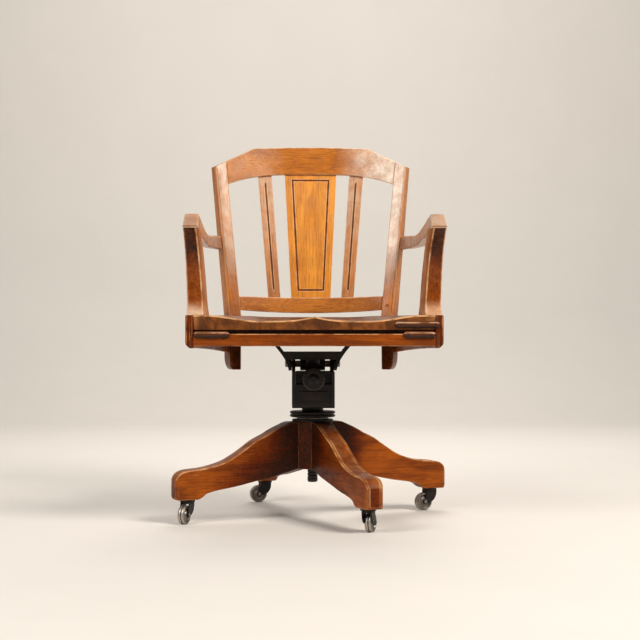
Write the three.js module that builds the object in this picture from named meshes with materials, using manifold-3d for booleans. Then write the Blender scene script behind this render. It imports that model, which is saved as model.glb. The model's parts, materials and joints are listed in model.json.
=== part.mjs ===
// Bankers swivel armchair: a slatted oak back and scooped seat on an iron screw-and-tilt mechanism,
// over a four-legged base with plate casters. Millimetres, +Z up, the seat faces -Y. The origin is on
// the floor, under the spindle.
import * as THREE from "three";
import { mergeVertices } from "three/addons/utils/BufferGeometryUtils.js";
import Module from "manifold-3d";

const wasm = await Module();
wasm.setup();

// Fits
const CLEAR = 0.3; // gap between pieces that touch
const CUT_OVERRUN = 3; // how far a cutter passes the face it opens

// Casters
const WHEEL_RADIUS = 22;
const WHEEL_WIDTH = 16;
const WHEEL_TREAD_ROUND = 3;
const WHEEL_WEB_WIDTH = 8;
const WHEEL_RIM_DEPTH = 6;
const WHEEL_HUB_RADIUS = 8;
const CASTER_AXLE_RADIUS = 3;
const CASTER_TRAIL = 18;
const FORK_SIDE_GAP = 1;
const FORK_PLATE = 3;
const FORK_EYE_RADIUS = 7;
const FORK_EYE_ARC_DEG = [225, 405];
const CROWN_GAP = 2; // wheel to crown
const CROWN_THICK = 4;
const CROWN_RADIUS = 14;
const PINTLE_RADIUS = 4.5;
const PINTLE_LENGTH = 36;
const SOCKET_PLATE_RADIUS = 18;
const SOCKET_PLATE_THICK = 5;
const SOCKET_SLEEVE_WALL = 2.2;
const CASTER_INSET = 34; // end of the leg to the caster's swivel axis

// Base
const BASE_YAW_DEG = 21.9;
const LEG_REACH = 352; // spindle axis to the end of a leg
const LEG_THICK = 44;
const LEG_HEIGHT = 175; // underside of the foot to the top of the hub
const LEG_EASE = 4;
const LEG_END_INSET = 5;
const HUB_HEIGHT = 113;
const HUB_CORNER_FACE = 35; // width of the hub face seen between two legs
const BUSHING_WALL = 5.4;

// Screw lift
const SPINDLE_RADIUS = 12.3;
const SPINDLE_TIP = 34; // how far the spindle shows under the hub
const BAR_EASE = 1.5; // chamfer on the ends of the steel bars
const FLANGE_RADIUS = 50;
const FLANGE_THICK = 4.7;
const WASHER_RADIUS = 38;
const WASHER_THICK = 4.7;
const NUT_RADIUS = 55;
const NUT_THICK = 14.4;
const NUT_GROOVE = 3;

// Tilt housing
const AXLE_RISE = 113.4; // foot of the housing's boss to the tilt axle
const BOSS_RADIUS = 26;
const BOSS_LENGTH = 12;
const HOUSING_HALF = 50; // half the width over the cheeks
const CHEEK_THICK = 8;
const WEB_THICK = 14;
const HOUSING_FRONT = 118; // ahead of the axle
const HOUSING_BACK = 38; // behind the axle
const FRONT_WALL = 8;
const WINDOW_WIDTH = 17;
const WINDOW_HEIGHT = 25;
const PANEL_HALF = 36;
const PANEL_HEIGHT = 29;
const PANEL_PROUD = 5;
const PANEL_BORDER = 5;
const PANEL_RECESS = 3;
const HOUSING_TOE = 10; // round of the lower front edge
const HOUSING_EASE = 5;
const SLOT_HEIGHT = 30; // openings beside the spring
const SLOT_DROP = 5; // below the spring's axis
const SLOT_FRONT = 90; // ahead of the axle
const SLOT_REAR = 24;
const AXLE_RADIUS = 8;
const AXLE_EYE_WALL = 8;
const AXLE_EYE_ARC_DEG = 135; // how far the cheek follows its eye before it falls to the front

// Tension screw and spring
const SPRING_DROP = 33; // tilt axle to spring axis
const SCREW_RADIUS = 6;
const SCREW_REAR = 40; // the screw ends this far ahead of the axle
const SCREW_BOSS_RADIUS = 13;
const KNOB_RADIUS = 26.7;
const KNOB_DEPTH = 22;
const KNOB_RIM = 12;
const KNOB_BOSS_RADIUS = 13;
const KNOB_EASE = 4;
const KNOB_FLUTES = 16;
const KNOB_FLUTE_RADIUS = 2.4;
const KNOB_BORE_DEPTH = 14;
const FOLLOWER_FRONT = 102;
const FOLLOWER_THICK = 14;
const FOLLOWER_HEIGHT = 38;
const SPRING_MEAN_RADIUS = 14.5;
const WIRE_RADIUS = 2.5;
const SPRING_TURNS = 8;
const STEPS_PER_TURN = 8;
const WIRE_SIDES = 5;

// Tilt irons and lever
const IRON_THICK = 8;
const IRON_HALF_WIDTH = 23;
const IRON_GAP = 0.5; // cheek to iron
const IRON_SPREAD = 44; // how far the flare moves out
const IRON_RISE = 55.4; // tilt axle to the underside of the strap
const FLARE_START = 12; // below the axle
const STRAP_WIDTH = 32;
const STRAP_LENGTH = 300;
const STRAP_THICK = 8;
const BOLT_PITCH = 220; // front bolts to rear bolts
const BOLT_RADIUS = 4;
const BOLT_HEAD_RADIUS = 9;
const BOLT_HEAD_THICK = 5;
const LEVER_HALF = 16;
const LEVER_HUB_HALF = 30;
const LEVER_FACE = 9.7; // face of the lever ahead of the axle
const LEVER_BACK = 8;
const LEVER_TAIL = 52; // below the axle
const PAD_RADIUS = 18;
const PAD_THICK = 4;
const CROSSBAR_FRONT = 70;
const CROSSBAR_DEPTH = 18;
const CROSSBAR_LOW = 12;
const CROSSBAR_HEIGHT = 19;

// Seat
const SEAT_THICK = 33;
const SEAT_FRONT = 250; // ahead of the spindle
const SEAT_BACK = 188; // rear edge between the stiles
const SEAT_HALF_FRONT = 292; // over the side rails
const SEAT_HOLLOW = 17;
const SEAT_FRONT_EASE = 3;
const SEAT_UNDER_INSET = 2; // the board's sides taper in this far to its underside
const POMMEL_WIDTH = 34;
const BATTEN_THICK = 20;
const BATTEN_DEPTH = 40;
const BATTEN_HALF = 205;
const SIDE_RAIL_THICK = 18;
const SIDE_RAIL_DEPTH = 75;
const SIDE_RAIL_BACK_DROP = 18; // the lower edge falls this much to the back
const SIDE_RAIL_CORNER = 9; // bevel on the lower outer edge
const SIDE_RAIL_END_SET = 4; // inside the faces of the stile it meets
const FRONT_RAIL_HEIGHT = 37;
const FRONT_RAIL_THICK = 24;
const SHADOW_GAP_HEIGHT = 9;
const SHADOW_GAP_DEPTH = 12;
const REAR_RAIL_HEIGHT = 40;
const REAR_RAIL_THICK = 20;
const REAR_RAIL_SET = 16;
const WOOD_EASE = 2.5;

// Reeds nailed on the front corners
const REED_HEIGHT = 16;
const REED_PROUD = 7;
const REED_LOWER_LEFT = 82;
const REED_LOWER_RIGHT = 74;
const REED_UPPER_RIGHT = 102;
const REED_UPPER_OVERHANG = 9;
const REED_LOWER_TOP = 36; // below the seat rim
const REED_UPPER_TOP = 13;

// Back
const BACK_LEAN_DEG = 9.5;
const STILE_TURN_DEG = 19.6;
const STILE_SPLAY_DEG = 5.85; // above the seat, below it the stiles are upright
const STILE_SEAT_X = 192; // middle of the front face at seat level
const STILE_FRONT_Y = 170;
const STILE_WIDTH = 32;
const STILE_DEPTH_SEAT = 48;
const STILE_DEPTH_TOP = 32;
const STILE_DEPTH_FOOT = 40;
const STILE_DROP = 136; // below the seat rim
const STILE_FOOT_ROUND = 34;
const STILE_FOOT_INSET = 10;
const STILE_EASE = 3;
const BACK_CREST = 439; // above the seat rim
const TOP_RAIL_HEIGHT = 72;
const TOP_RAIL_THICK = 24;
const CREST_DROP = 4.5; // crest to shoulder corner
const SHOULDER_DROP = 41; // crest to the stile
const UNDERSIDE_DROP = 29;
const RAIL_SET = 3; // rail faces behind the stile faces
const LOWER_RAIL_BASE = 14.4;
const LOWER_RAIL_HEIGHT = 36;
const LOWER_RAIL_THICK = 22;
const LOWER_RAIL_TOP_DIP = 4.4;
const LOWER_RAIL_BASE_DIP = 8;
const SPLAT_HALF_TOP = 67;
const SPLAT_HALF_BASE = 50.5;
const SPLAT_THICK = 10;
const SPLAT_BORDER = 17.5;
const SPLAT_TOP_MARGIN = 12;
const SPLAT_BASE_MARGIN = 17;
const GROOVE_WIDTH = 3.5;
const GROOVE_DEPTH = 2;
const SLAT_INNER_TOP = 101;
const SLAT_INNER_BASE = 78;
const SLAT_WIDTH_TOP = 35.5;
const SLAT_WIDTH_BASE = 31.5;
const SLAT_LINE_MARGIN = 15; // ends of a slat to the ends of its groove

// Arms
const ARM_FRONT_Y = 287; // tip of the bevelled end, ahead of the spindle
const ARM_FRONT_RISE = 228; // top of the arm above the seat rim
const ARM_FRONT_THICK = 33;
const ARM_REAR_RISE = 205;
const ARM_REAR_THICK = 36;
const ARM_WAIST_RISE = 198;
const ARM_WAIST_THICK = 28;
const ARM_OVERHANG = 3.5; // outside the side rails
const ARM_WIDTH = 34;
const ARM_BEVEL = 28;
const ARM_TIP_EASE_SHARE = 0.33; // of the height of the bevel's tip
const ARM_EASE = 5;
const ARM_END_SET = 3;
const POST_WIDTH_FOOT = 38;
const POST_WIDTH_TOP = 30;
const POST_DEPTH_FOOT = 70;
const POST_DEPTH_WAIST = 55;
const POST_DEPTH_TOP = 56;
const POST_FOOT_SET = 12; // foot behind the seat's front edge
const POST_WAIST_SET = 45;
const POST_EASE = 4;

// Heights, from the floor up, and reaches that follow other sizes
const CROWN_Z = 2 * WHEEL_RADIUS + CROWN_GAP;
const SOCKET_Z = CROWN_Z + CROWN_THICK + CLEAR;
const FOOT_Z = SOCKET_Z + SOCKET_PLATE_THICK + CLEAR;
const HUB_TOP_Z = FOOT_Z + LEG_HEIGHT;
const FLANGE_Z = HUB_TOP_Z + CLEAR;
const WASHER_Z = FLANGE_Z + FLANGE_THICK + CLEAR;
const NUT_Z = WASHER_Z + WASHER_THICK + CLEAR;
const HOUSING_Z = NUT_Z + NUT_THICK + CLEAR;
const AXLE_Z = HOUSING_Z + AXLE_RISE;
const STRAP_TOP_Z = AXLE_Z + IRON_RISE + STRAP_THICK;
const BATTEN_Z = STRAP_TOP_Z + CLEAR;
const BOARD_Z = BATTEN_Z + BATTEN_THICK + CLEAR;
const RIM_Z = BOARD_Z + SEAT_THICK;
const CASTER_REACH = LEG_REACH - CASTER_INSET;
const ARM_HALF_OVER = SEAT_HALF_FRONT + ARM_OVERHANG; // half the width over the arms

// Counts of facets and steps
const ROUND_FACETS = 16;
const SMALL_FACETS = 8;
const FLUTE_FACETS = 6;
const WHEEL_FACETS = 20;
const DISC_FACETS = 24;
const CURVE_FACETS = 5;
const STILE_STEPS = 8;
const STILE_LOW_STEPS = 3;
const STILE_FOOT_STEPS = 4;
const BOARD_STEPS = 5;
const FLARE_STEPS = 9;
const BAR_END_STEPS = 3;
const SIDE_RAIL_STEPS = 14;
const REED_ARC_STEPS = 6;
const ARM_STEPS = 2;

const FULL_TURN = 2 * Math.PI;
const SIDES = [
  [1, "right"],
  [-1, "left"],
];
const ENDS = [
  [-1, "front"],
  [1, "rear"],
];
const { degToRad, lerp, clamp, smoothstep } = THREE.MathUtils;
const LEAN = Math.tan(degToRad(BACK_LEAN_DEG));
const SPLAY = Math.tan(degToRad(STILE_SPLAY_DEG));
const TURN_COS = Math.cos(degToRad(STILE_TURN_DEG));
const TURN_SIN = Math.sin(degToRad(STILE_TURN_DEG));

function finish(color, roughness, metalness) {
  return new THREE.MeshStandardMaterial({ color, roughness, metalness });
}
const OAK = finish(0x8f5a2b, 0.45, 0);
const OAK_DARK = finish(0x6b3f20, 0.45, 0);
const OAK_ORANGE = finish(0xb8742f, 0.45, 0);
const IRON = finish(0x2b2622, 0.6, 0.8);
const STEEL = finish(0x8d8a84, 0.4, 0.9);

// Solids from meshes, and back

function signedVolume(points, triangles) {
  const [a, b, c] = [new THREE.Vector3(), new THREE.Vector3(), new THREE.Vector3()];
  let sum = 0;
  for (let i = 0; i < triangles.length; i += 3) {
    a.fromArray(points, 3 * triangles[i]);
    b.fromArray(points, 3 * triangles[i + 1]);
    c.fromArray(points, 3 * triangles[i + 2]);
    sum += a.dot(b.cross(c));
  }
  return sum;
}

// Weld a closed mesh, drop the slivers at its poles and turn its faces outwards.
function toSolid(geometry) {
  const bare = geometry.clone();
  bare.deleteAttribute("normal");
  bare.deleteAttribute("uv");
  const welded = mergeVertices(bare);
  const vertProperties = new Float32Array(welded.attributes.position.array);
  const kept = [];
  const all = welded.index.array;
  for (let i = 0; i < all.length; i += 3) {
    const [a, b, c] = [all[i], all[i + 1], all[i + 2]];
    if (a !== b && b !== c && c !== a) kept.push(a, b, c);
  }
  if (signedVolume(vertProperties, kept) < 0) kept.reverse();
  const triVerts = new Uint32Array(kept);
  return new wasm.Manifold(new wasm.Mesh({ numProp: 3, vertProperties, triVerts }));
}

function toGeometry(solid) {
  const { vertProperties, triVerts } = solid.getMesh();
  const geometry = new THREE.BufferGeometry();
  geometry.setAttribute("position", new THREE.BufferAttribute(vertProperties, 3));
  geometry.setIndex(new THREE.BufferAttribute(triVerts, 1));
  geometry.computeVertexNormals();
  return geometry;
}

function meshFromPoints(points, triangles) {
  const geometry = new THREE.BufferGeometry();
  geometry.setAttribute("position", new THREE.Float32BufferAttribute(points.flat(), 3));
  geometry.setIndex(triangles.flat());
  return toSolid(geometry);
}

// Join a row of closed rings, all with as many points, and close both ends with fans.
function loft(rings) {
  const sides = rings[0].length;
  const last = (rings.length - 1) * sides;
  const triangles = [];
  for (let k = 0; k < rings.length - 1; k++) {
    for (let j = 0; j < sides; j++) {
      const a = k * sides + j;
      const b = k * sides + ((j + 1) % sides);
      triangles.push([a, b, b + sides], [a, b + sides, a + sides]);
    }
  }
  for (let j = 1; j < sides - 1; j++) {
    triangles.push([0, j + 1, j], [last, last + j, last + j + 1]);
  }
  return meshFromPoints(rings.flat(), triangles);
}

// A rectangle with each corner cut by its own chamfer, anticlockwise from the low corner.
function easedRing(aLow, aHigh, bLow, bHigh, eases) {
  const [p, q, r, s] = Array.isArray(eases) ? eases : [eases, eases, eases, eases];
  return [
    [aLow + p, bLow],
    [aHigh - q, bLow],
    [aHigh, bLow + q],
    [aHigh, bHigh - r],
    [aHigh - r, bHigh],
    [aLow + s, bHigh],
    [aLow, bHigh - s],
    [aLow, bLow + p],
  ];
}

// Even shares from 0 to 1.
function evenShares(steps) {
  return Array.from({ length: steps + 1 }, (_, i) => i / steps);
}

// A smooth height through a table of [place share, height share], flat wherever the table turns or rests.
function throughTable(table, place) {
  const end = table.length - 2;
  const above = table.findIndex((row) => row[0] > place);
  const k = clamp(above < 0 ? end : above - 1, 0, end);
  const steepness = (i) => (table[i + 1][1] - table[i][1]) / (table[i + 1][0] - table[i][0]);
  const slopeAt = (i) => {
    if (i === 0 || i > end) return steepness(Math.min(i, end));
    const [before, after] = [steepness(i - 1), steepness(i)];
    return before * after <= 0 ? 0 : (2 * before * after) / (before + after);
  };
  const [[x0, y0], [x1, y1]] = [table[k], table[k + 1]];
  const span = x1 - x0;
  const t = clamp((place - x0) / span, 0, 1);
  const rise = t * t * (3 - 2 * t);
  const [lead, trail] = [t * (1 - t) * (1 - t), t * t * (1 - t)];
  return lerp(y0, y1, rise) + span * (lead * slopeAt(k) - trail * slopeAt(k + 1));
}

// Smooth rings through control rings, one curve for each point of the ring.
function smoothRings(controls, stepsEach) {
  const steps = stepsEach * (controls.length - 1);
  const curves = controls[0].map(
    (_, j) => new THREE.CatmullRomCurve3(controls.map((ring) => new THREE.Vector3(...ring[j]))),
  );
  return evenShares(steps).map((t) => curves.map((curve) => curve.getPoint(t).toArray()));
}

const AXES = { X: new THREE.Vector3(1, 0, 0), Y: new THREE.Vector3(0, 1, 0), Z: new THREE.Vector3(0, 0, 1) };

// Extrude an outline drawn in two axes along the third, from low to high.
function prism(plane, outline, low, high) {
  const drawn = outline instanceof THREE.Shape;
  const shape = drawn ? outline : new THREE.Shape(outline.map((p) => new THREE.Vector2(...p)));
  const geometry = new THREE.ExtrudeGeometry(shape, {
    depth: high - low,
    bevelEnabled: false,
    curveSegments: CURVE_FACETS,
  });
  const [first, second] = [AXES[plane[0]], AXES[plane[1]]];
  const along = plane === "XY" ? AXES.Z : plane === "XZ" ? AXES.Y : AXES.X;
  const place = new THREE.Matrix4().makeBasis(first, second, along);
  geometry.applyMatrix4(place.multiply(new THREE.Matrix4().makeTranslation(0, 0, low)));
  return toSolid(geometry);
}

function box(xLow, xHigh, yLow, yHigh, zLow, zHigh) {
  const outline = [
    [xLow, yLow],
    [xHigh, yLow],
    [xHigh, yHigh],
    [xLow, yHigh],
  ];
  return prism("XY", outline, zLow, zHigh);
}

// Turn a profile of [radius, height] about an axis through a centre.
function turned(axis, profile, facets, centre = [0, 0, 0]) {
  const points = profile.map((p) => new THREE.Vector2(...p));
  const geometry = new THREE.LatheGeometry(points, facets);
  if (axis === "Z") geometry.rotateX(Math.PI / 2);
  if (axis === "X") geometry.rotateZ(-Math.PI / 2);
  geometry.translate(...centre);
  return toSolid(geometry);
}

function rod(axis, radius, low, high, facets = ROUND_FACETS, centre = [0, 0, 0]) {
  return turned(axis, [[0, low], [radius, low], [radius, high], [0, high]], facets, centre);
}

// A bar with a chamfer at each end.
function easedRod(axis, radius, low, high) {
  const profile = [
    [0, low],
    [radius - BAR_EASE, low],
    [radius, low + BAR_EASE],
    [radius, high - BAR_EASE],
    [radius - BAR_EASE, high],
    [0, high],
  ];
  return turned(axis, profile, ROUND_FACETS);
}

function ringBody(radius, bore, low, high, facets = DISC_FACETS, ease = 0) {
  const profile = [
    [bore, low],
    [radius - ease, low],
    [radius, low + ease],
    [radius, high - ease],
    [radius - ease, high],
    [bore, high],
    [bore, low],
  ];
  return turned("Z", profile, facets);
}

const chair = new THREE.Group();
function addTo(group, name, solid, material) {
  const mesh = new THREE.Mesh(toGeometry(solid), material);
  mesh.name = name;
  group.add(mesh);
  return mesh;
}

// Base: hub block, four legs, bushing and flange

const HUB_FLAT = HUB_CORNER_FACE / Math.SQRT2 + LEG_THICK / 2; // spindle axis to the face that a leg meets
const BUSHING_RADIUS = SPINDLE_RADIUS + CLEAR + BUSHING_WALL;
const SOCKET_SLEEVE_RADIUS = PINTLE_RADIUS + CLEAR + SOCKET_SLEEVE_WALL;

const LEG_TOP_SHARES = [
  [0.13, 1],
  [0.176, 0.998],
  [0.244, 0.95],
  [0.304, 0.895],
  [0.352, 0.84],
  [0.443, 0.75],
  [0.5, 0.67],
  [0.582, 0.563],
  [0.66, 0.484],
  [0.756, 0.43],
  [0.83, 0.406],
  [0.909, 0.392],
  [0.955, 0.37],
  [0.984, 0.325],
  [1, 0.27],
];
const LEG_UNDER_SHARES = [
  [0.13, 0.361],
  [0.304, 0.268],
  [0.449, 0.208],
  [0.58, 0.153],
  [0.739, 0.1],
  [0.79, 0.07],
  [0.822, 0.02],
  [0.852, 0],
  [0.985, 0],
  [1, 0.03],
];
const LEG_STATION_SHARES = [
  0.19, 0.25, 0.31, 0.37, 0.43, 0.49, 0.55, 0.61, 0.67, 0.74, 0.79, 0.82, 0.855, 0.91, 0.95, 0.975, 0.99, 1,
];

// A leg that points along +X: the top and underside follow their tables, the edges are eased.
function legSolid() {
  const start = HUB_FLAT + CLEAR;
  const places = [start, ...LEG_STATION_SHARES.map((share) => share * LEG_REACH)];
  const rings = places.map((x) => {
    const share = x / LEG_REACH;
    const low = FOOT_Z + LEG_HEIGHT * throughTable(LEG_UNDER_SHARES, share);
    const high = FOOT_Z + LEG_HEIGHT * throughTable(LEG_TOP_SHARES, share);
    const inset = share === 1 ? LEG_END_INSET : 0;
    const half = LEG_THICK / 2 - inset;
    return easedRing(-half, half, low, high, LEG_EASE).map(([y, z]) => [x, y, z]);
  });
  const socketHole = rod(
    "Z",
    SOCKET_SLEEVE_RADIUS + CLEAR,
    FOOT_Z - CUT_OVERRUN,
    SOCKET_Z + PINTLE_LENGTH + CUT_OVERRUN,
    ROUND_FACETS,
    [CASTER_REACH, 0, 0],
  );
  return loft(rings).subtract(socketHole);
}

function hubSolid() {
  const half = LEG_THICK / 2;
  const corners = [
    [HUB_FLAT, -half],
    [HUB_FLAT, half],
    [half, HUB_FLAT],
    [-half, HUB_FLAT],
    [-HUB_FLAT, half],
    [-HUB_FLAT, -half],
    [-half, -HUB_FLAT],
    [half, -HUB_FLAT],
  ];
  const low = HUB_TOP_Z - HUB_HEIGHT;
  const bore = rod("Z", BUSHING_RADIUS + CLEAR, low - CUT_OVERRUN, HUB_TOP_Z + CUT_OVERRUN);
  return prism("XY", corners, low, HUB_TOP_Z).subtract(bore);
}

const base = new THREE.Group();
base.rotation.z = degToRad(BASE_YAW_DEG);
chair.add(base);
addTo(base, "hub_block", hubSolid(), OAK);
const spindleBore = SPINDLE_RADIUS + CLEAR;
const HUB_LOW_Z = HUB_TOP_Z - HUB_HEIGHT;
const bushing = ringBody(BUSHING_RADIUS, spindleBore, HUB_LOW_Z, HUB_TOP_Z, ROUND_FACETS);
addTo(base, "hub_bushing", bushing, IRON);
const flange = ringBody(FLANGE_RADIUS, spindleBore, FLANGE_Z, FLANGE_Z + FLANGE_THICK);
addTo(base, "base_flange", flange, IRON);

// Casters: a socket plate under each foot, a fork with its pintle, a wheel and its axle

const CASTER_AXLE_BORE = CASTER_AXLE_RADIUS + CLEAR;
const FORK_HALF = WHEEL_WIDTH / 2 + FORK_SIDE_GAP;

function socketSolid() {
  const profile = [
    [PINTLE_RADIUS + CLEAR, SOCKET_Z],
    [SOCKET_PLATE_RADIUS, SOCKET_Z],
    [SOCKET_PLATE_RADIUS, SOCKET_Z + SOCKET_PLATE_THICK],
    [SOCKET_SLEEVE_RADIUS, SOCKET_Z + SOCKET_PLATE_THICK],
    [SOCKET_SLEEVE_RADIUS, SOCKET_Z + PINTLE_LENGTH],
    [PINTLE_RADIUS + CLEAR, SOCKET_Z + PINTLE_LENGTH],
    [PINTLE_RADIUS + CLEAR, SOCKET_Z],
  ];
  return turned("Z", profile, ROUND_FACETS);
}

// The fork trails along +X: its two cheeks sweep from the crown down to the eye at the wheel's axle.
function forkSolid() {
  const eye = new THREE.Shape();
  eye.moveTo(-CROWN_RADIUS, CROWN_Z + CROWN_THICK);
  const [throat, low] = [CASTER_TRAIL - FORK_EYE_RADIUS, WHEEL_RADIUS - FORK_EYE_RADIUS / 2];
  eye.quadraticCurveTo(-CROWN_RADIUS, WHEEL_RADIUS, throat, low);
  const [arcStart, arcEnd] = FORK_EYE_ARC_DEG.map(degToRad);
  eye.absarc(CASTER_TRAIL, WHEEL_RADIUS, FORK_EYE_RADIUS, arcStart, arcEnd, false);
  eye.quadraticCurveTo(CROWN_RADIUS, (CROWN_Z + WHEEL_RADIUS) / 2, CROWN_RADIUS, CROWN_Z + CROWN_THICK);
  const outer = FORK_HALF + FORK_PLATE;
  const crown = rod("Z", CROWN_RADIUS, CROWN_Z, CROWN_Z + CROWN_THICK);
  const pintle = rod("Z", PINTLE_RADIUS, CROWN_Z, SOCKET_Z + PINTLE_LENGTH, SMALL_FACETS);
  const [far, atWheel] = [outer + CUT_OVERRUN, [CASTER_TRAIL, 0, WHEEL_RADIUS]];
  const bore = rod("Y", CASTER_AXLE_BORE, -far, far, SMALL_FACETS, atWheel);
  const cheeks = [-outer, FORK_HALF].map((low) => prism("XZ", eye, low, low + FORK_PLATE));
  return crown.add(pintle).add(cheeks[0]).add(cheeks[1]).subtract(bore);
}

function wheelSolid() {
  const half = WHEEL_WIDTH / 2;
  const web = WHEEL_WEB_WIDTH / 2;
  const rim = WHEEL_RADIUS - WHEEL_RIM_DEPTH;
  const side = (sign) => [
    [CASTER_AXLE_BORE, sign * half],
    [WHEEL_HUB_RADIUS, sign * half],
    [WHEEL_HUB_RADIUS + WHEEL_TREAD_ROUND, sign * web],
    [rim, sign * web],
    [rim + WHEEL_TREAD_ROUND / 2, sign * half],
    [WHEEL_RADIUS, sign * (half - WHEEL_TREAD_ROUND)],
  ];
  const profile = [...side(-1), ...side(1).reverse()];
  return turned("Y", [...profile, profile[0]], WHEEL_FACETS);
}

function casterAxleSolid() {
  const [shank, head] = [FORK_HALF + FORK_PLATE + CLEAR, CASTER_AXLE_RADIUS / 2];
  const profile = [
    [0, -shank - head],
    [CASTER_AXLE_RADIUS + head, -shank - head],
    [CASTER_AXLE_RADIUS + head, -shank],
    [CASTER_AXLE_RADIUS, -shank],
    [CASTER_AXLE_RADIUS, shank],
    [CASTER_AXLE_RADIUS + head, shank],
    [CASTER_AXLE_RADIUS + head, shank + head],
    [0, shank + head],
  ];
  return turned("Y", profile, SMALL_FACETS);
}

// Each leg: its name, its direction from the right leg's and where its caster trails, seen from above.
const LEGS_DEG = [
  ["front", -90, 70],
  ["right", 0, 205],
  ["rear", 90, 195],
  ["left", 180, -110],
];
for (const [word, legDeg, trailDeg] of LEGS_DEG) {
  const arm = new THREE.Group();
  arm.rotation.z = degToRad(legDeg);
  base.add(arm);
  addTo(arm, `leg_${word}`, legSolid(), OAK);
  const caster = new THREE.Group();
  caster.position.x = CASTER_REACH;
  arm.add(caster);
  addTo(caster, `caster_socket_${word}`, socketSolid(), IRON);
  const swivel = new THREE.Group();
  swivel.rotation.z = degToRad(trailDeg - BASE_YAW_DEG - legDeg);
  caster.add(swivel);
  addTo(swivel, `caster_fork_${word}`, forkSolid(), IRON);
  const hub = new THREE.Group();
  hub.position.set(CASTER_TRAIL, 0, WHEEL_RADIUS);
  swivel.add(hub);
  addTo(hub, `caster_wheel_${word}`, wheelSolid(), STEEL);
  addTo(hub, `caster_axle_${word}`, casterAxleSolid(), STEEL);
}

// Screw lift: washer, nut and spindle

function nutSolid() {
  const high = NUT_Z + NUT_THICK;
  const third = NUT_THICK / 3;
  const profile = [
    [spindleBore, NUT_Z],
    [NUT_RADIUS - NUT_GROOVE, NUT_Z],
    [NUT_RADIUS, NUT_Z + NUT_GROOVE / 2],
    [NUT_RADIUS, NUT_Z + third],
    [NUT_RADIUS - NUT_GROOVE, NUT_Z + third + NUT_GROOVE / 2],
    [NUT_RADIUS - NUT_GROOVE, high - third - NUT_GROOVE / 2],
    [NUT_RADIUS, high - third],
    [NUT_RADIUS, high - NUT_GROOVE / 2],
    [NUT_RADIUS - NUT_GROOVE, high],
    [spindleBore, high],
    [spindleBore, NUT_Z],
  ];
  return turned("Z", profile, DISC_FACETS);
}

const SPINDLE_LOW_Z = HUB_LOW_Z - SPINDLE_TIP;
const SPINDLE_HIGH_Z = HOUSING_Z + BOSS_LENGTH + WEB_THICK;
const washer = ringBody(WASHER_RADIUS, spindleBore, WASHER_Z, WASHER_Z + WASHER_THICK);
addTo(chair, "thrust_washer", washer, STEEL);
addTo(chair, "height_nut", nutSolid(), IRON);
const spindle = easedRod("Z", SPINDLE_RADIUS, SPINDLE_LOW_Z, SPINDLE_HIGH_Z);
addTo(chair, "screw_spindle", spindle, STEEL);

// Mechanism, measured from the tilt axle

const mechanism = new THREE.Group();
mechanism.position.z = AXLE_Z;
chair.add(mechanism);
const CHEEK_IN = HOUSING_HALF - CHEEK_THICK;
const WEB_LOW = BOSS_LENGTH - AXLE_RISE;
const WEB_HIGH = WEB_LOW + WEB_THICK;
const AXLE_BORE = AXLE_RADIUS + CLEAR;
const EYE_RADIUS = AXLE_BORE + AXLE_EYE_WALL;
const WALL_TOP = EYE_RADIUS - SPRING_DROP;
const SCREW_BORE = SCREW_RADIUS + CLEAR;

// The housing from the side: a rounded toe, the eye round the axle and a straight front wall.
function housingOutline() {
  const shape = new THREE.Shape();
  const middle = -HOUSING_FRONT / 2;
  shape.moveTo(-HOUSING_FRONT, WEB_LOW + HOUSING_TOE);
  shape.quadraticCurveTo(-HOUSING_FRONT, WEB_LOW, HOUSING_TOE - HOUSING_FRONT, WEB_LOW);
  shape.lineTo(HOUSING_BACK, WEB_LOW);
  shape.lineTo(HOUSING_BACK, WEB_HIGH);
  shape.quadraticCurveTo(EYE_RADIUS, WEB_HIGH / 2, EYE_RADIUS, 0);
  shape.absarc(0, 0, EYE_RADIUS, 0, degToRad(AXLE_EYE_ARC_DEG), false);
  shape.quadraticCurveTo(-EYE_RADIUS * 2, WALL_TOP, middle, WALL_TOP);
  shape.lineTo(-HOUSING_FRONT, WALL_TOP);
  return shape;
}

// An opening with round ends beside the spring, through both cheeks.
function springSlot() {
  const shape = new THREE.Shape();
  const [radius, level] = [SLOT_HEIGHT / 2, -SPRING_DROP - SLOT_DROP];
  shape.absarc(radius - SLOT_FRONT, level, radius, Math.PI / 2, Math.PI * 1.5, false);
  shape.absarc(-SLOT_REAR - radius, level, radius, -Math.PI / 2, Math.PI / 2, false);
  const far = HOUSING_HALF + CUT_OVERRUN;
  return prism("YZ", shape, -far, far);
}

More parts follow.
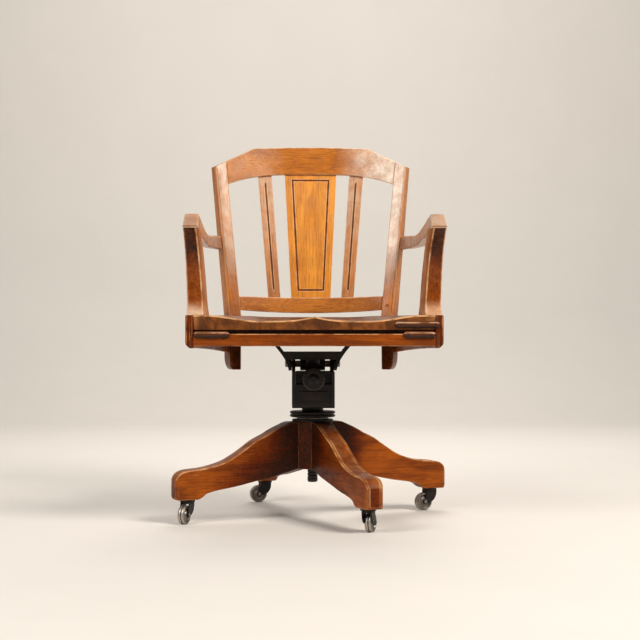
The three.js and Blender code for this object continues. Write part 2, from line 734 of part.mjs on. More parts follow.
// One casting: its outline runs across, its inside is open to the top and the rear, its corners are eased.
function housingSolid() {
  const wallBack = FRONT_WALL - HOUSING_FRONT;
  const block = prism("YZ", housingOutline(), -HOUSING_HALF, HOUSING_HALF);
  const plan = easedRing(-HOUSING_HALF, HOUSING_HALF, -HOUSING_FRONT, HOUSING_BACK, HOUSING_EASE);
  const inside = [-CHEEK_IN, CHEEK_IN, wallBack, HOUSING_BACK + CUT_OVERRUN];
  const shell = block
    .intersect(prism("XY", plan, WEB_LOW - CUT_OVERRUN, EYE_RADIUS + CUT_OVERRUN))
    .subtract(box(...inside, WEB_HIGH, EYE_RADIUS + CUT_OVERRUN))
    .subtract(springSlot());
  const boss = rod("Z", BOSS_RADIUS, -AXLE_RISE, WEB_HIGH, DISC_FACETS);
  const panelFront = -HOUSING_FRONT - PANEL_PROUD;
  const panelLow = WEB_LOW + HOUSING_TOE;
  const [recessHalf, recessLow] = [PANEL_HALF - PANEL_BORDER, panelLow + PANEL_BORDER];
  const recessHigh = panelLow + PANEL_HEIGHT - PANEL_BORDER;
  const recessDepths = [panelFront - CUT_OVERRUN, panelFront + PANEL_RECESS];
  const plate = box(-PANEL_HALF, PANEL_HALF, panelFront, wallBack, panelLow, panelLow + PANEL_HEIGHT);
  const panel = plate.subtract(box(-recessHalf, recessHalf, ...recessDepths, recessLow, recessHigh));
  const onSpring = [0, 0, -SPRING_DROP];
  const screwBoss = rod("Y", SCREW_BOSS_RADIUS, panelFront, wallBack, ROUND_FACETS, onSpring);
  const solid = [panel, screwBoss, boss].reduce((sum, next) => sum.add(next), shell);
  const windowLow = -SPRING_DROP - WINDOW_HEIGHT / 2;
  const windows = SIDES.map(([side]) => {
    const [near, far] = [side * (CHEEK_IN - WINDOW_WIDTH), side * CHEEK_IN].sort((p, q) => p - q);
    const [yLow, yHigh] = [-HOUSING_FRONT - CUT_OVERRUN, wallBack + CUT_OVERRUN];
    return box(near, far, yLow, yHigh, windowLow, windowLow + WINDOW_HEIGHT);
  });
  const far = HOUSING_HALF + CUT_OVERRUN;
  const bores = [
    rod("X", AXLE_BORE, -far, far),
    rod("Y", SCREW_BORE, panelFront - CUT_OVERRUN, wallBack + CUT_OVERRUN, ROUND_FACETS, onSpring),
    rod("Z", spindleBore, -AXLE_RISE - CUT_OVERRUN, WEB_HIGH + CUT_OVERRUN),
  ];
  return [...windows, ...bores].reduce((rest, cutter) => rest.subtract(cutter), solid);
}
addTo(mechanism, "tilt_housing", housingSolid(), IRON);

const EAR_IN = HOUSING_HALF + IRON_GAP;
const EAR_OUT = EAR_IN + IRON_THICK;
const axleEnd = EAR_OUT + AXLE_EYE_WALL;
addTo(mechanism, "tilt_axle", easedRod("X", AXLE_RADIUS, -axleEnd, axleEnd), STEEL);

// Tension screw, knob, follower and spring lie on one axis under the tilt axle.
const tension = new THREE.Group();
tension.position.z = -SPRING_DROP;
mechanism.add(tension);
const KNOB_REAR = -HOUSING_FRONT - PANEL_PROUD - CLEAR;
const KNOB_FRONT = KNOB_REAR - KNOB_DEPTH;
const SCREW_FRONT = KNOB_REAR - KNOB_BORE_DEPTH + CLEAR;

function knobSolid() {
  const mid = KNOB_REAR - (KNOB_DEPTH - KNOB_RIM) / 2;
  const profile = [
    [0, KNOB_FRONT],
    [KNOB_BOSS_RADIUS / 2, KNOB_FRONT],
    [KNOB_BOSS_RADIUS, mid - KNOB_RIM],
    [KNOB_RADIUS - KNOB_EASE, mid - KNOB_RIM],
    [KNOB_RADIUS, mid - KNOB_RIM + KNOB_EASE / 2],
    [KNOB_RADIUS, mid - KNOB_EASE / 2],
    [KNOB_RADIUS - KNOB_EASE, mid],
    [KNOB_BOSS_RADIUS, KNOB_REAR],
    [0, KNOB_REAR],
  ];
  let knob = turned("Y", profile, DISC_FACETS);
  const reach = KNOB_RADIUS + KNOB_FLUTE_RADIUS / 2;
  for (let i = 0; i < KNOB_FLUTES; i++) {
    const turn = (i / KNOB_FLUTES) * FULL_TURN;
    const centre = [reach * Math.cos(turn), 0, reach * Math.sin(turn)];
    const cutter = rod("Y", KNOB_FLUTE_RADIUS, KNOB_FRONT, KNOB_REAR + CUT_OVERRUN, FLUTE_FACETS, centre);
    knob = knob.subtract(cutter);
  }
  return knob.subtract(rod("Y", SCREW_BORE, KNOB_REAR - KNOB_BORE_DEPTH, KNOB_REAR + CUT_OVERRUN));
}
addTo(tension, "tension_knob", knobSolid(), IRON);
addTo(tension, "tension_screw", easedRod("Y", SCREW_RADIUS, SCREW_FRONT, -SCREW_REAR), STEEL);

const FOLLOWER_REAR = FOLLOWER_THICK - FOLLOWER_FRONT;
const followerHalf = CHEEK_IN - CLEAR;
const follower = box(
  -followerHalf,
  followerHalf,
  -FOLLOWER_FRONT,
  FOLLOWER_REAR,
  -FOLLOWER_HEIGHT / 2,
  FOLLOWER_HEIGHT / 2,
).subtract(rod("Y", SCREW_BORE, -FOLLOWER_FRONT - CUT_OVERRUN, FOLLOWER_REAR + CUT_OVERRUN));
addTo(tension, "spring_follower", follower, IRON);

// The wire is one unbroken tube: a straight end one wire wide, the helix, and another straight end.
const SPRING_FRONT = FOLLOWER_REAR + CLEAR;
const SPRING_REAR = -LEVER_FACE - PAD_THICK - CLEAR;

function springCentres() {
  const wire = 2 * WIRE_RADIUS;
  const [start, end] = [SPRING_FRONT + wire, SPRING_REAR - wire];
  const steps = SPRING_TURNS * STEPS_PER_TURN;
  const helix = evenShares(steps).map((t) => [t * SPRING_TURNS * FULL_TURN, lerp(start, end, t)]);
  return [[0, SPRING_FRONT], ...helix, [SPRING_TURNS * FULL_TURN, SPRING_REAR]];
}

function springSolid() {
  const centres = springCentres();
  const at = ([turn, y]) =>
    new THREE.Vector3(SPRING_MEAN_RADIUS * Math.cos(turn), y, SPRING_MEAN_RADIUS * Math.sin(turn));
  const points = centres.map(at);
  const rings = points.map((point, i) => {
    const ahead = points[Math.min(i + 1, points.length - 1)];
    const tangent = ahead.clone().sub(points[Math.max(i - 1, 0)]).normalize();
    const turn = centres[i][0];
    const outward = new THREE.Vector3(Math.cos(turn), 0, Math.sin(turn));
    const across = tangent.clone().cross(outward).normalize();
    const square = across.clone().cross(tangent);
    return evenShares(WIRE_SIDES)
      .slice(1)
      .map((share) => {
        const [c, s] = [Math.cos(share * FULL_TURN), Math.sin(share * FULL_TURN)];
        const offset = square.clone().multiplyScalar(c * WIRE_RADIUS);
        return point.clone().add(offset.addScaledVector(across, s * WIRE_RADIUS)).toArray();
      });
  });
  let least = Infinity;
  for (let i = 0; i < points.length; i++) {
    for (let j = i + STEPS_PER_TURN / 2; j < points.length; j++) {
      least = Math.min(least, points[i].distanceTo(points[j]) - 2 * WIRE_RADIUS);
    }
  }
  console.log(`spring: least gap between turns ${least.toFixed(2)} mm`);
  return loft(rings);
}
addTo(tension, "tension_spring", springSolid(), STEEL);

// The flare of a tilt iron, seen from the front: a curve that leaves the eye upright and runs out to the
// strap, with the thickness of the plate square to it.
const FLARE_POWER_SHARE = 1.5;
const FLARE_RISE = IRON_RISE + FLARE_START;
function flareShare(z) {
  return (z + FLARE_START) / FLARE_RISE;
}
function flareOuter(z) {
  return EAR_OUT + IRON_SPREAD * flareShare(z) ** FLARE_POWER_SHARE;
}
function flareInner(z) {
  const slope = (FLARE_POWER_SHARE * IRON_SPREAD * flareShare(z) ** (FLARE_POWER_SHARE - 1)) / FLARE_RISE;
  return flareOuter(z) - IRON_THICK * Math.hypot(1, slope);
}
const STRAP_X = (flareOuter(IRON_RISE) + flareInner(IRON_RISE)) / 2;

function ironSolid(side) {
  const top = IRON_RISE + STRAP_THICK / 2;
  const levels = evenShares(FLARE_STEPS).map((share) => lerp(-FLARE_START, top, share));
  const outerFace = levels.map((z) => [side * flareOuter(z), z]);
  const innerFace = levels.map((z) => [side * flareInner(z), z]);
  const outline = [...outerFace, ...innerFace.reverse()];
  const flare = prism("XZ", outline, -IRON_HALF_WIDTH, IRON_HALF_WIDTH);
  const [near, far] = [side * EAR_IN, side * EAR_OUT].sort((p, q) => p - q);
  const eye = rod("X", EYE_RADIUS, near, far);
  const strapX = [side * STRAP_X - STRAP_WIDTH / 2, side * STRAP_X + STRAP_WIDTH / 2];
  const strap = box(...strapX, -STRAP_LENGTH / 2, STRAP_LENGTH / 2, IRON_RISE, IRON_RISE + STRAP_THICK);
  const reach = flareOuter(EYE_RADIUS) + CUT_OVERRUN;
  const [boreLow, boreHigh] = side > 0 ? [near - CUT_OVERRUN, reach] : [-reach, far + CUT_OVERRUN];
  const bore = rod("X", AXLE_BORE, boreLow, boreHigh);
  const iron = flare.add(eye).add(strap).subtract(bore);
  const [holeLow, holeHigh] = [IRON_RISE - CUT_OVERRUN, IRON_RISE + STRAP_THICK + CUT_OVERRUN];
  return ENDS.reduce((rest, [end]) => {
    const centre = [side * STRAP_X, (end * BOLT_PITCH) / 2, 0];
    return rest.subtract(rod("Z", BOLT_RADIUS + CLEAR, holeLow, holeHigh, SMALL_FACETS, centre));
  }, iron);
}

function boltSolid() {
  const low = IRON_RISE - CLEAR;
  const profile = [
    [0, low - BOLT_HEAD_THICK],
    [BOLT_HEAD_RADIUS / 2, low - BOLT_HEAD_THICK],
    [BOLT_HEAD_RADIUS, low - BOLT_HEAD_THICK / 2],
    [BOLT_HEAD_RADIUS, low],
    [BOLT_RADIUS, low],
    [BOLT_RADIUS, IRON_RISE + STRAP_THICK + BATTEN_THICK],
    [0, IRON_RISE + STRAP_THICK + BATTEN_THICK],
  ];
  return turned("Z", profile, SMALL_FACETS);
}

for (const [side, sideWord] of SIDES) {
  addTo(mechanism, `tilt_iron_${sideWord}`, ironSolid(side), IRON);
  for (const [end, endWord] of ENDS) {
    const bolt = addTo(mechanism, `seat_bolt_${endWord}_${sideWord}`, boltSolid(), STEEL);
    bolt.position.set(side * STRAP_X, (end * BOLT_PITCH) / 2, 0);
  }
}

// The lever hangs from the axle to the spring and reaches forward to a bar between the irons.
function leverSolid() {
  const barBack = CROSSBAR_DEPTH - CROSSBAR_FRONT;
  const barTop = CROSSBAR_LOW + CROSSBAR_HEIGHT;
  const hub = rod("X", EYE_RADIUS, -LEVER_HUB_HALF, LEVER_HUB_HALF);
  const tail = [
    [-LEVER_FACE, 0],
    [-LEVER_FACE, -LEVER_TAIL],
    [0, -LEVER_TAIL],
    [LEVER_BACK + EYE_RADIUS / 3, 0],
  ];
  const neck = [
    [0, -EYE_RADIUS / 2],
    [EYE_RADIUS / 2, EYE_RADIUS / 2],
    [barBack, barTop],
    [-CROSSBAR_FRONT + CLEAR, barTop],
    [-CROSSBAR_FRONT + CLEAR, CROSSBAR_LOW],
  ];
  const barEnd = evenShares(BAR_END_STEPS)
    .map((share) => lerp(CROSSBAR_LOW, barTop, share))
    .map((z) => [flareInner(z) - CLEAR, z]);
  const bar = [...barEnd, ...barEnd.map(([x, z]) => [-x, z]).reverse()];
  const pad = rod("Y", PAD_RADIUS, -LEVER_FACE - PAD_THICK, 0, ROUND_FACETS, [0, 0, -SPRING_DROP]);
  const far = LEVER_HUB_HALF + CUT_OVERRUN;
  return hub
    .add(prism("YZ", tail, -LEVER_HALF, LEVER_HALF))
    .add(prism("YZ", neck, -LEVER_HALF, LEVER_HALF))
    .add(prism("XZ", bar, -CROSSBAR_FRONT, barBack))
    .add(pad)
    .subtract(rod("X", AXLE_BORE, -far, far));
}
addTo(mechanism, "tilt_lever", leverSolid(), IRON);

// Seat, measured from the rim of the seat board

const seat = new THREE.Group();
seat.position.z = RIM_Z;
chair.add(seat);
const BOARD_LOW = -SEAT_THICK;

function backFrontY(z) {
  return STILE_FRONT_Y + z * LEAN;
}
function stileCentreX(z) {
  return STILE_SEAT_X + Math.max(z, 0) * SPLAY;
}
function stileDepth(z) {
  if (z < 0) return lerp(STILE_DEPTH_SEAT, STILE_DEPTH_FOOT, clamp(-z / STILE_DROP, 0, 1));
  return lerp(STILE_DEPTH_SEAT, STILE_DEPTH_TOP, clamp(z / BACK_CREST, 0, 1));
}
// A point of the right stile: a across its face from the middle outwards, b into its depth.
function stilePoint(a, b, z) {
  return [stileCentreX(z) + a * TURN_COS + b * TURN_SIN, backFrontY(z) - a * TURN_SIN + b * TURN_COS, z];
}
function mirrored([x, y, z], side) {
  return [side * x, y, z];
}

// Half the clear width between the stiles, b behind their faces.
function innerHalf(z, b) {
  return stilePoint(-STILE_WIDTH / 2, b, z)[0] - CLEAR / TURN_COS;
}
const BACK_BOW = (innerHalf(0, 0) * TURN_SIN) / TURN_COS / 2;
// A point of a rail between the stiles: share from -1 to 1 across, b into its depth.
function railPoint(share, b, z, bow = BACK_BOW) {
  const y = backFrontY(z) + (STILE_WIDTH / 2) * TURN_SIN + b * TURN_COS + bow * (1 - share * share);
  return [share * innerHalf(z, b), y, z];
}

const SHOULDER_SHARE = 0.665;
const UNDERSIDE_POWER_SHARE = 3.2;
const SHOULDER_SLOPE = (SHOULDER_DROP - CREST_DROP) / ((1 - SHOULDER_SHARE) * innerHalf(BACK_CREST, 0));

function topEdge(share) {
  const out = Math.abs(share);
  if (out < SHOULDER_SHARE) return BACK_CREST - CREST_DROP * (out / SHOULDER_SHARE) ** 2;
  return BACK_CREST - lerp(CREST_DROP, SHOULDER_DROP, (out - SHOULDER_SHARE) / (1 - SHOULDER_SHARE));
}
function topRailUnderside(share) {
  return BACK_CREST - TOP_RAIL_HEIGHT - UNDERSIDE_DROP * Math.abs(share) ** UNDERSIDE_POWER_SHARE;
}
function lowerRailTop(share) {
  return LOWER_RAIL_BASE + LOWER_RAIL_HEIGHT - LOWER_RAIL_TOP_DIP * (1 - share * share);
}
function lowerRailBase(share) {
  return LOWER_RAIL_BASE - LOWER_RAIL_BASE_DIP * (1 - share * share);
}

// From a through b to c, as the stage runs from 0 through 1 to 2.
function staged(a, b, c, stage) {
  return stage < 1 ? lerp(a, b, stage) : lerp(b, c, stage - 1);
}

function bothWays(halfShares) {
  return [...halfShares.map((share) => -share).reverse(), ...halfShares.slice(1)];
}

function railSolid(halfShares, top, underside, thick, ease) {
  const rings = bothWays(halfShares).map((share) =>
    easedRing(RAIL_SET, RAIL_SET + thick, underside(share), top(share), ease).map(([b, z]) =>
      railPoint(share, b, z),
    ),
  );
  return loft(rings);
}
const TOP_RAIL_HALF_SHARES = [0, 0.16, 0.32, 0.48, 0.62, 0.655, 0.69, 0.78, 0.86, 0.93, 1];
const LOWER_RAIL_HALF_SHARES = [0, 0.2, 0.4, 0.6, 0.8, 1];
const topRail = railSolid(TOP_RAIL_HALF_SHARES, topEdge, topRailUnderside, TOP_RAIL_THICK, STILE_EASE);
addTo(seat, "top_rail", topRail, OAK);
const lowerRail = railSolid(LOWER_RAIL_HALF_SHARES, lowerRailTop, lowerRailBase, LOWER_RAIL_THICK, WOOD_EASE);
addTo(seat, "lower_back_rail", lowerRail, OAK);

// A stile: its foot is rounded off on the outside and rear, its top is cut along the shoulder.
function stileSolid(side) {
  const rounding = evenShares(STILE_FOOT_STEPS);
  const feet = rounding.map((share) => {
    const z = -STILE_DROP + share * STILE_FOOT_ROUND;
    const inset = STILE_FOOT_INSET * (1 - Math.sqrt(1 - (1 - share) ** 2));
    return [z, inset];
  });
  const footTop = STILE_FOOT_ROUND - STILE_DROP;
  const shaftTop = BACK_CREST - SHOULDER_DROP - STILE_WIDTH;
  const low = evenShares(STILE_LOW_STEPS).map((share) => lerp(footTop, 0, share));
  const high = evenShares(STILE_STEPS).map((share) => share * shaftTop);
  const shaft = [...low.slice(1), ...high.slice(1)].map((z) => [z, 0]);
  const half = STILE_WIDTH / 2;
  const rings = [...feet, ...shaft].map(([z, inset]) =>
    easedRing(-half, half - inset, 0, stileDepth(z) - inset, STILE_EASE).map(([a, b]) => stilePoint(a, b, z)),
  );
  const shoulderZ = (a) => BACK_CREST - SHOULDER_DROP - SHOULDER_SLOPE * (a + half) * TURN_COS;
  const topSection = easedRing(-half, half, 0, STILE_DEPTH_TOP, STILE_EASE);
  const cap = topSection.map(([a, b]) => stilePoint(a, b, shoulderZ(a)));
  return loft([...rings, cap].map((ring) => ring.map((point) => mirrored(point, side))));
}

// A board of the back that tapers downwards and follows the bow, from the lower rail to the top rail.
const BOARD_SET = RAIL_SET + (LOWER_RAIL_THICK - SPLAT_THICK) / 2;
function backBoardPoint(x, b, share) {
  const midZ = lerp(LOWER_RAIL_BASE + LOWER_RAIL_HEIGHT, BACK_CREST - TOP_RAIL_HEIGHT, share);
  const across = x / innerHalf(midZ, b);
  const z = lerp(lowerRailTop(across) + CLEAR, topRailUnderside(across) - CLEAR, share);
  return railPoint(x / innerHalf(z, b), b, z);
}
// The strip between two edges, each [x at the base, x at the top], over a stretch of the height.
function strip(edgeLow, edgeHigh, bLow, bHigh, shareLow, shareHigh, ease) {
  const rings = evenShares(BOARD_STEPS).map((step) => {
    const share = lerp(shareLow, shareHigh, step);
    const [low, high] = [edgeLow, edgeHigh].map(([foot, top]) => lerp(foot, top, share));
    return easedRing(low, high, bLow, bHigh, ease).map(([x, b]) => backBoardPoint(x, b, share));
  });
  return loft(rings);
}
const BOARD_HEIGHT = BACK_CREST - TOP_RAIL_HEIGHT - LOWER_RAIL_BASE - LOWER_RAIL_HEIGHT;

function splatSolid() {
  const [foot, top] = [SPLAT_HALF_BASE, SPLAT_HALF_TOP];
  const board = strip([-foot, -top], [foot, top], BOARD_SET, BOARD_SET + SPLAT_THICK, 0, 1, WOOD_EASE / 2);
  const [frontCut, deepCut] = [BOARD_SET - CUT_OVERRUN, BOARD_SET + GROOVE_DEPTH];
  const lowShare = SPLAT_BASE_MARGIN / BOARD_HEIGHT;
  const highShare = 1 - SPLAT_TOP_MARGIN / BOARD_HEIGHT;
  const lineShare = GROOVE_WIDTH / BOARD_HEIGHT;
  const outer = [foot - SPLAT_BORDER, top - SPLAT_BORDER];
  const inner = outer.map((x) => x - GROOVE_WIDTH);
  const negative = (edge) => edge.map((x) => -x);
  const cutters = [
    strip(inner, outer, frontCut, deepCut, lowShare, highShare, 0),
    strip(negative(outer), negative(inner), frontCut, deepCut, lowShare, highShare, 0),
    strip(negative(outer), outer, frontCut, deepCut, lowShare, lowShare + lineShare, 0),
    strip(negative(outer), outer, frontCut, deepCut, highShare - lineShare, highShare, 0),
  ];
  return cutters.reduce((rest, cutter) => rest.subtract(cutter), board);
}

function slatSolid(side) {
  const inner = [side * SLAT_INNER_BASE, side * SLAT_INNER_TOP];
  const outer = [inner[0] + side * SLAT_WIDTH_BASE, inner[1] + side * SLAT_WIDTH_TOP];
  const [low, high] = side > 0 ? [inner, outer] : [outer, inner];
  const board = strip(low, high, BOARD_SET, BOARD_SET + SPLAT_THICK, 0, 1, WOOD_EASE / 2);
  const middle = inner.map((x, i) => (x + outer[i]) / 2);
  const [grooveLow, grooveHigh] = [-1, 1].map((way) => middle.map((x) => x + (way * GROOVE_WIDTH) / 2));
  const endShare = SLAT_LINE_MARGIN / BOARD_HEIGHT;
  const [frontCut, deepCut] = [BOARD_SET - CUT_OVERRUN, BOARD_SET + GROOVE_DEPTH];
  const groove = strip(grooveLow, grooveHigh, frontCut, deepCut, endShare, 1 - endShare, 0);
  return board.subtract(groove);
}
addTo(seat, "splat_center", splatSolid(), OAK_ORANGE);

// A side rail runs from the front corner to the outer face of its stile.
function sideRailFace(place, z, outer) {
  const frontX = SEAT_HALF_FRONT - (outer ? 0 : SIDE_RAIL_THICK);
  const b = outer ? stileDepth(0) - SIDE_RAIL_END_SET : SIDE_RAIL_END_SET;
  const [endX, endY] = stilePoint(STILE_WIDTH / 2 + CLEAR, b, z);
  return [lerp(frontX, endX, place), lerp(-SEAT_FRONT, endY, place), z];
}
function sideRailUnderside(place) {
  return -SIDE_RAIL_DEPTH - SIDE_RAIL_BACK_DROP * place * Math.sqrt(place);
}
// The section of a side rail, as [share from the inner to the outer face, height].
function sideRailSection(low) {
  const ease = WOOD_EASE / SIDE_RAIL_THICK;
  return [
    [ease, low],
    [1 - SIDE_RAIL_CORNER / SIDE_RAIL_THICK, low],
    [1, low + SIDE_RAIL_CORNER],
    [1, -WOOD_EASE],
    [1 - ease, 0],
    [ease, 0],
    [0, -WOOD_EASE],
    [0, low + WOOD_EASE],
  ];
}
function sideRailSolid(side) {
  const rings = evenShares(SIDE_RAIL_STEPS).map((place) =>
    sideRailSection(sideRailUnderside(place)).map(([share, z]) => {
      const [inner, outer] = [sideRailFace(place, z, false), sideRailFace(place, z, true)];
      return mirrored(inner.map((value, axis) => lerp(value, outer[axis], share)), side);
    }),
  );
  return loft(rings);
}
// Half the width between the side rails at a place y.
function betweenRails(y, z) {
  const [frontX, frontY] = sideRailFace(0, z, false);
  const [endX, endY] = sideRailFace(1, z, false);
  return lerp(frontX, endX, (y - frontY) / (endY - frontY)) - CLEAR;
}

function frontRailSolid() {
  const high = BOARD_LOW - CLEAR;
  const low = high - FRONT_RAIL_HEIGHT;
  const step = high - SHADOW_GAP_HEIGHT;
  const profile = [
    [-SEAT_FRONT + WOOD_EASE, low],
    [FRONT_RAIL_THICK - SEAT_FRONT, low],
    [FRONT_RAIL_THICK - SEAT_FRONT, high],
    [SHADOW_GAP_DEPTH - SEAT_FRONT, high],
    [SHADOW_GAP_DEPTH - SEAT_FRONT, step],
    [-SEAT_FRONT + WOOD_EASE, step],
    [-SEAT_FRONT, step - WOOD_EASE],
    [-SEAT_FRONT, low + WOOD_EASE],
  ];
  const reach = SEAT_HALF_FRONT;
  const bar = prism("YZ", profile, -reach, reach);
  return bar.intersect(planBetweenRails(-SEAT_FRONT - CUT_OVERRUN, 0, low - CUT_OVERRUN, high + CUT_OVERRUN));
}
// The space between the side rails over a stretch of the depth.
function planBetweenRails(yLow, yHigh, zLow, zHigh) {
  const [nearHalf, farHalf] = [betweenRails(yLow, zLow), betweenRails(yHigh, zLow)];
  const outline = [
    [-nearHalf, yLow],
    [nearHalf, yLow],
    [farHalf, yHigh],
    [-farHalf, yHigh],
  ];
  return prism("XY", outline, zLow, zHigh);
}

// The seat board: two hollows with a raised pommel between them at the front and a flat rim at the sides.
const HOLLOW_RIM_SHARES = [0.45, 0.9];
const HOLLOW_FRONT_SHARE = 0.78;
const HOLLOW_RISE_SHARES = [0, 0.3];
const HOLLOW_FALL_SHARES = [0.62, 1];
const HOLLOW_BACK_SHARE = 0.2;
const POMMEL_SHARE = 0.74;
const POMMEL_FADE_SHARES = [0.05, 0.75];
const POMMEL_CURVE_SHARE = 1.3;
function seatHollow(x, share, along) {
  const rising = lerp(HOLLOW_FRONT_SHARE, 1, smoothstep(along, ...HOLLOW_RISE_SHARES));
  const falling = lerp(1, HOLLOW_BACK_SHARE, smoothstep(along, ...HOLLOW_FALL_SHARES));
  const rim = 1 - smoothstep(Math.abs(share), ...HOLLOW_RIM_SHARES);
  const ridge = Math.exp(-((Math.abs(x) / POMMEL_WIDTH) ** POMMEL_CURVE_SHARE));
  const pommel = POMMEL_SHARE * ridge * (1 - smoothstep(along, ...POMMEL_FADE_SHARES));
  return SEAT_HOLLOW * rising * falling * rim * (1 - pommel);
}
const SEAT_HALF_SHARES = [0, 0.055, 0.12, 0.19, 0.28, 0.38, 0.5, 0.62, 0.74, 0.84, 0.92, 1];
const SEAT_ALONG_SHARES = [0, 0.01, 0.085, 0.175, 0.275, 0.38, 0.5, 0.62, 0.73, 0.83, 0.92, 1];

// Both faces of the board are grids of as many points, the top a height field and the underside flat.
function seatBoardSolid() {
  const columns = bothWays(SEAT_HALF_SHARES);
  const depths = SEAT_ALONG_SHARES.map((along) => lerp(-SEAT_FRONT, SEAT_BACK, along));
  const rows = depths.map((y, r) => {
    const along = SEAT_ALONG_SHARES[r];
    const worn = along === 0 ? SEAT_FRONT_EASE : 0;
    const lowHalf = betweenRails(y, BOARD_LOW) - SEAT_UNDER_INSET;
    const top = columns.map((share) => {
      const x = share * betweenRails(y, 0);
      return [x, y, -seatHollow(x, share, along) - worn];
    });
    const under = columns.map((share) => [share * lowHalf, y, BOARD_LOW]);
    return [...top, ...under.reverse()];
  });
  return loft(rows);
}

// Notches clear the stiles at the rear corners of the board.
function stileNotch(side) {
  const inner = Math.abs(stilePoint(-STILE_WIDTH / 2, 0, BOARD_LOW)[0]) - CLEAR - STILE_EASE;
  const front = stilePoint(STILE_WIDTH / 2, 0, BOARD_LOW)[1] - CLEAR - STILE_EASE;
  const [near, far] = [side * inner, side * SEAT_HALF_FRONT].sort((p, q) => p - q);
  return box(near, far, front, SEAT_BACK + CUT_OVERRUN, BOARD_LOW - CUT_OVERRUN, CUT_OVERRUN);
}
const seatBoard = seatBoardSolid().subtract(stileNotch(1)).subtract(stileNotch(-1));
addTo(seat, "seat_board", seatBoard, OAK_DARK);
addTo(seat, "seat_rail_front", frontRailSolid(), OAK);

function rearRailSolid() {
  const high = BOARD_LOW - CLEAR;
  const rings = [-1, 1].map((share) =>
    easedRing(REAR_RAIL_SET, REAR_RAIL_SET + REAR_RAIL_THICK, high - REAR_RAIL_HEIGHT, high, WOOD_EASE).map(
      ([b, z]) => railPoint(share, b, z, 0),
    ),
  );
  return loft(rings);
}
addTo(seat, "seat_rail_rear", rearRailSolid(), OAK_DARK);

for (const [end, word] of ENDS) {
  const middle = (end * BOLT_PITCH) / 2;
  const low = BOARD_LOW - CLEAR - BATTEN_THICK;
  const [near, far] = [middle - BATTEN_DEPTH / 2, middle + BATTEN_DEPTH / 2];
  const section = easedRing(near, far, low, BOARD_LOW - CLEAR, WOOD_EASE);
  const bar = loft([-BATTEN_HALF, BATTEN_HALF].map((x) => section.map(([y, z]) => [x, y, z])));
  const batten = SIDES.reduce((rest, [side]) => {
    const centre = [side * STRAP_X, middle, 0];
    return rest.subtract(rod("Z", BOLT_RADIUS + CLEAR, low - CUT_OVERRUN, BOARD_LOW, SMALL_FACETS, centre));
  }, bar);
  addTo(seat, `seat_batten_${word}`, batten, OAK_DARK);
}

// Half-round reeds lie flat on the front, with rounded ends.
const REED_STATION_SHARES = [0, 0.03, 0.09, 0.18, 0.82, 0.91, 0.97, 1];
const REED_FULLNESS_SHARES = [0.25, 0.6, 0.87, 1, 1, 0.87, 0.6, 0.25];
function reedSolid(xLow, xHigh, top) {
  const face = -SEAT_FRONT - CLEAR;
  const middle = top - REED_HEIGHT / 2;
  const rings = REED_STATION_SHARES.map((share, k) => {
    const full = REED_FULLNESS_SHARES[k];
    return evenShares(REED_ARC_STEPS).map((step) => {
      const turn = step * Math.PI;
      const y = face - REED_PROUD * full * Math.sin(turn);
      return [lerp(xLow, xHigh, share), y, middle - (REED_HEIGHT / 2) * full * Math.cos(turn)];
    });
  });
  return loft(rings);
}
const railEnd = SEAT_HALF_FRONT - SIDE_RAIL_THICK;
addTo(seat, "reed_lower_left", reedSolid(-railEnd, REED_LOWER_LEFT - railEnd, -REED_LOWER_TOP), OAK_DARK);
addTo(seat, "reed_lower_right", reedSolid(railEnd - REED_LOWER_RIGHT, railEnd, -REED_LOWER_TOP), OAK_DARK);
const overhang = railEnd + REED_UPPER_OVERHANG;
addTo(seat, "reed_upper_right", reedSolid(overhang - REED_UPPER_RIGHT, overhang, -REED_UPPER_TOP), OAK_DARK);

// Arms: each row is [place, rise, thickness, inner edge, outer edge]. The place runs from the bevel's tip to
// the stile, rise and thickness are stages from the front through the waist to the rear, and the edges'
// shares take the width in towards the stile.
const ARM_ROW_SHARES = [
  [0.065, 0, 0, 0.02, 0.05],
  [0.135, 0.083, 0.5, 0.04, 0.06],
  [0.27, 0.4, 0.4, 0.1, 0.08],
  [0.54, 0.82, 1, 0.16, 0.14],
  [0.69, 1, 1, 0.24, 0.28],
  [0.84, 1.35, 1.45, 0.55, 0.56],
];

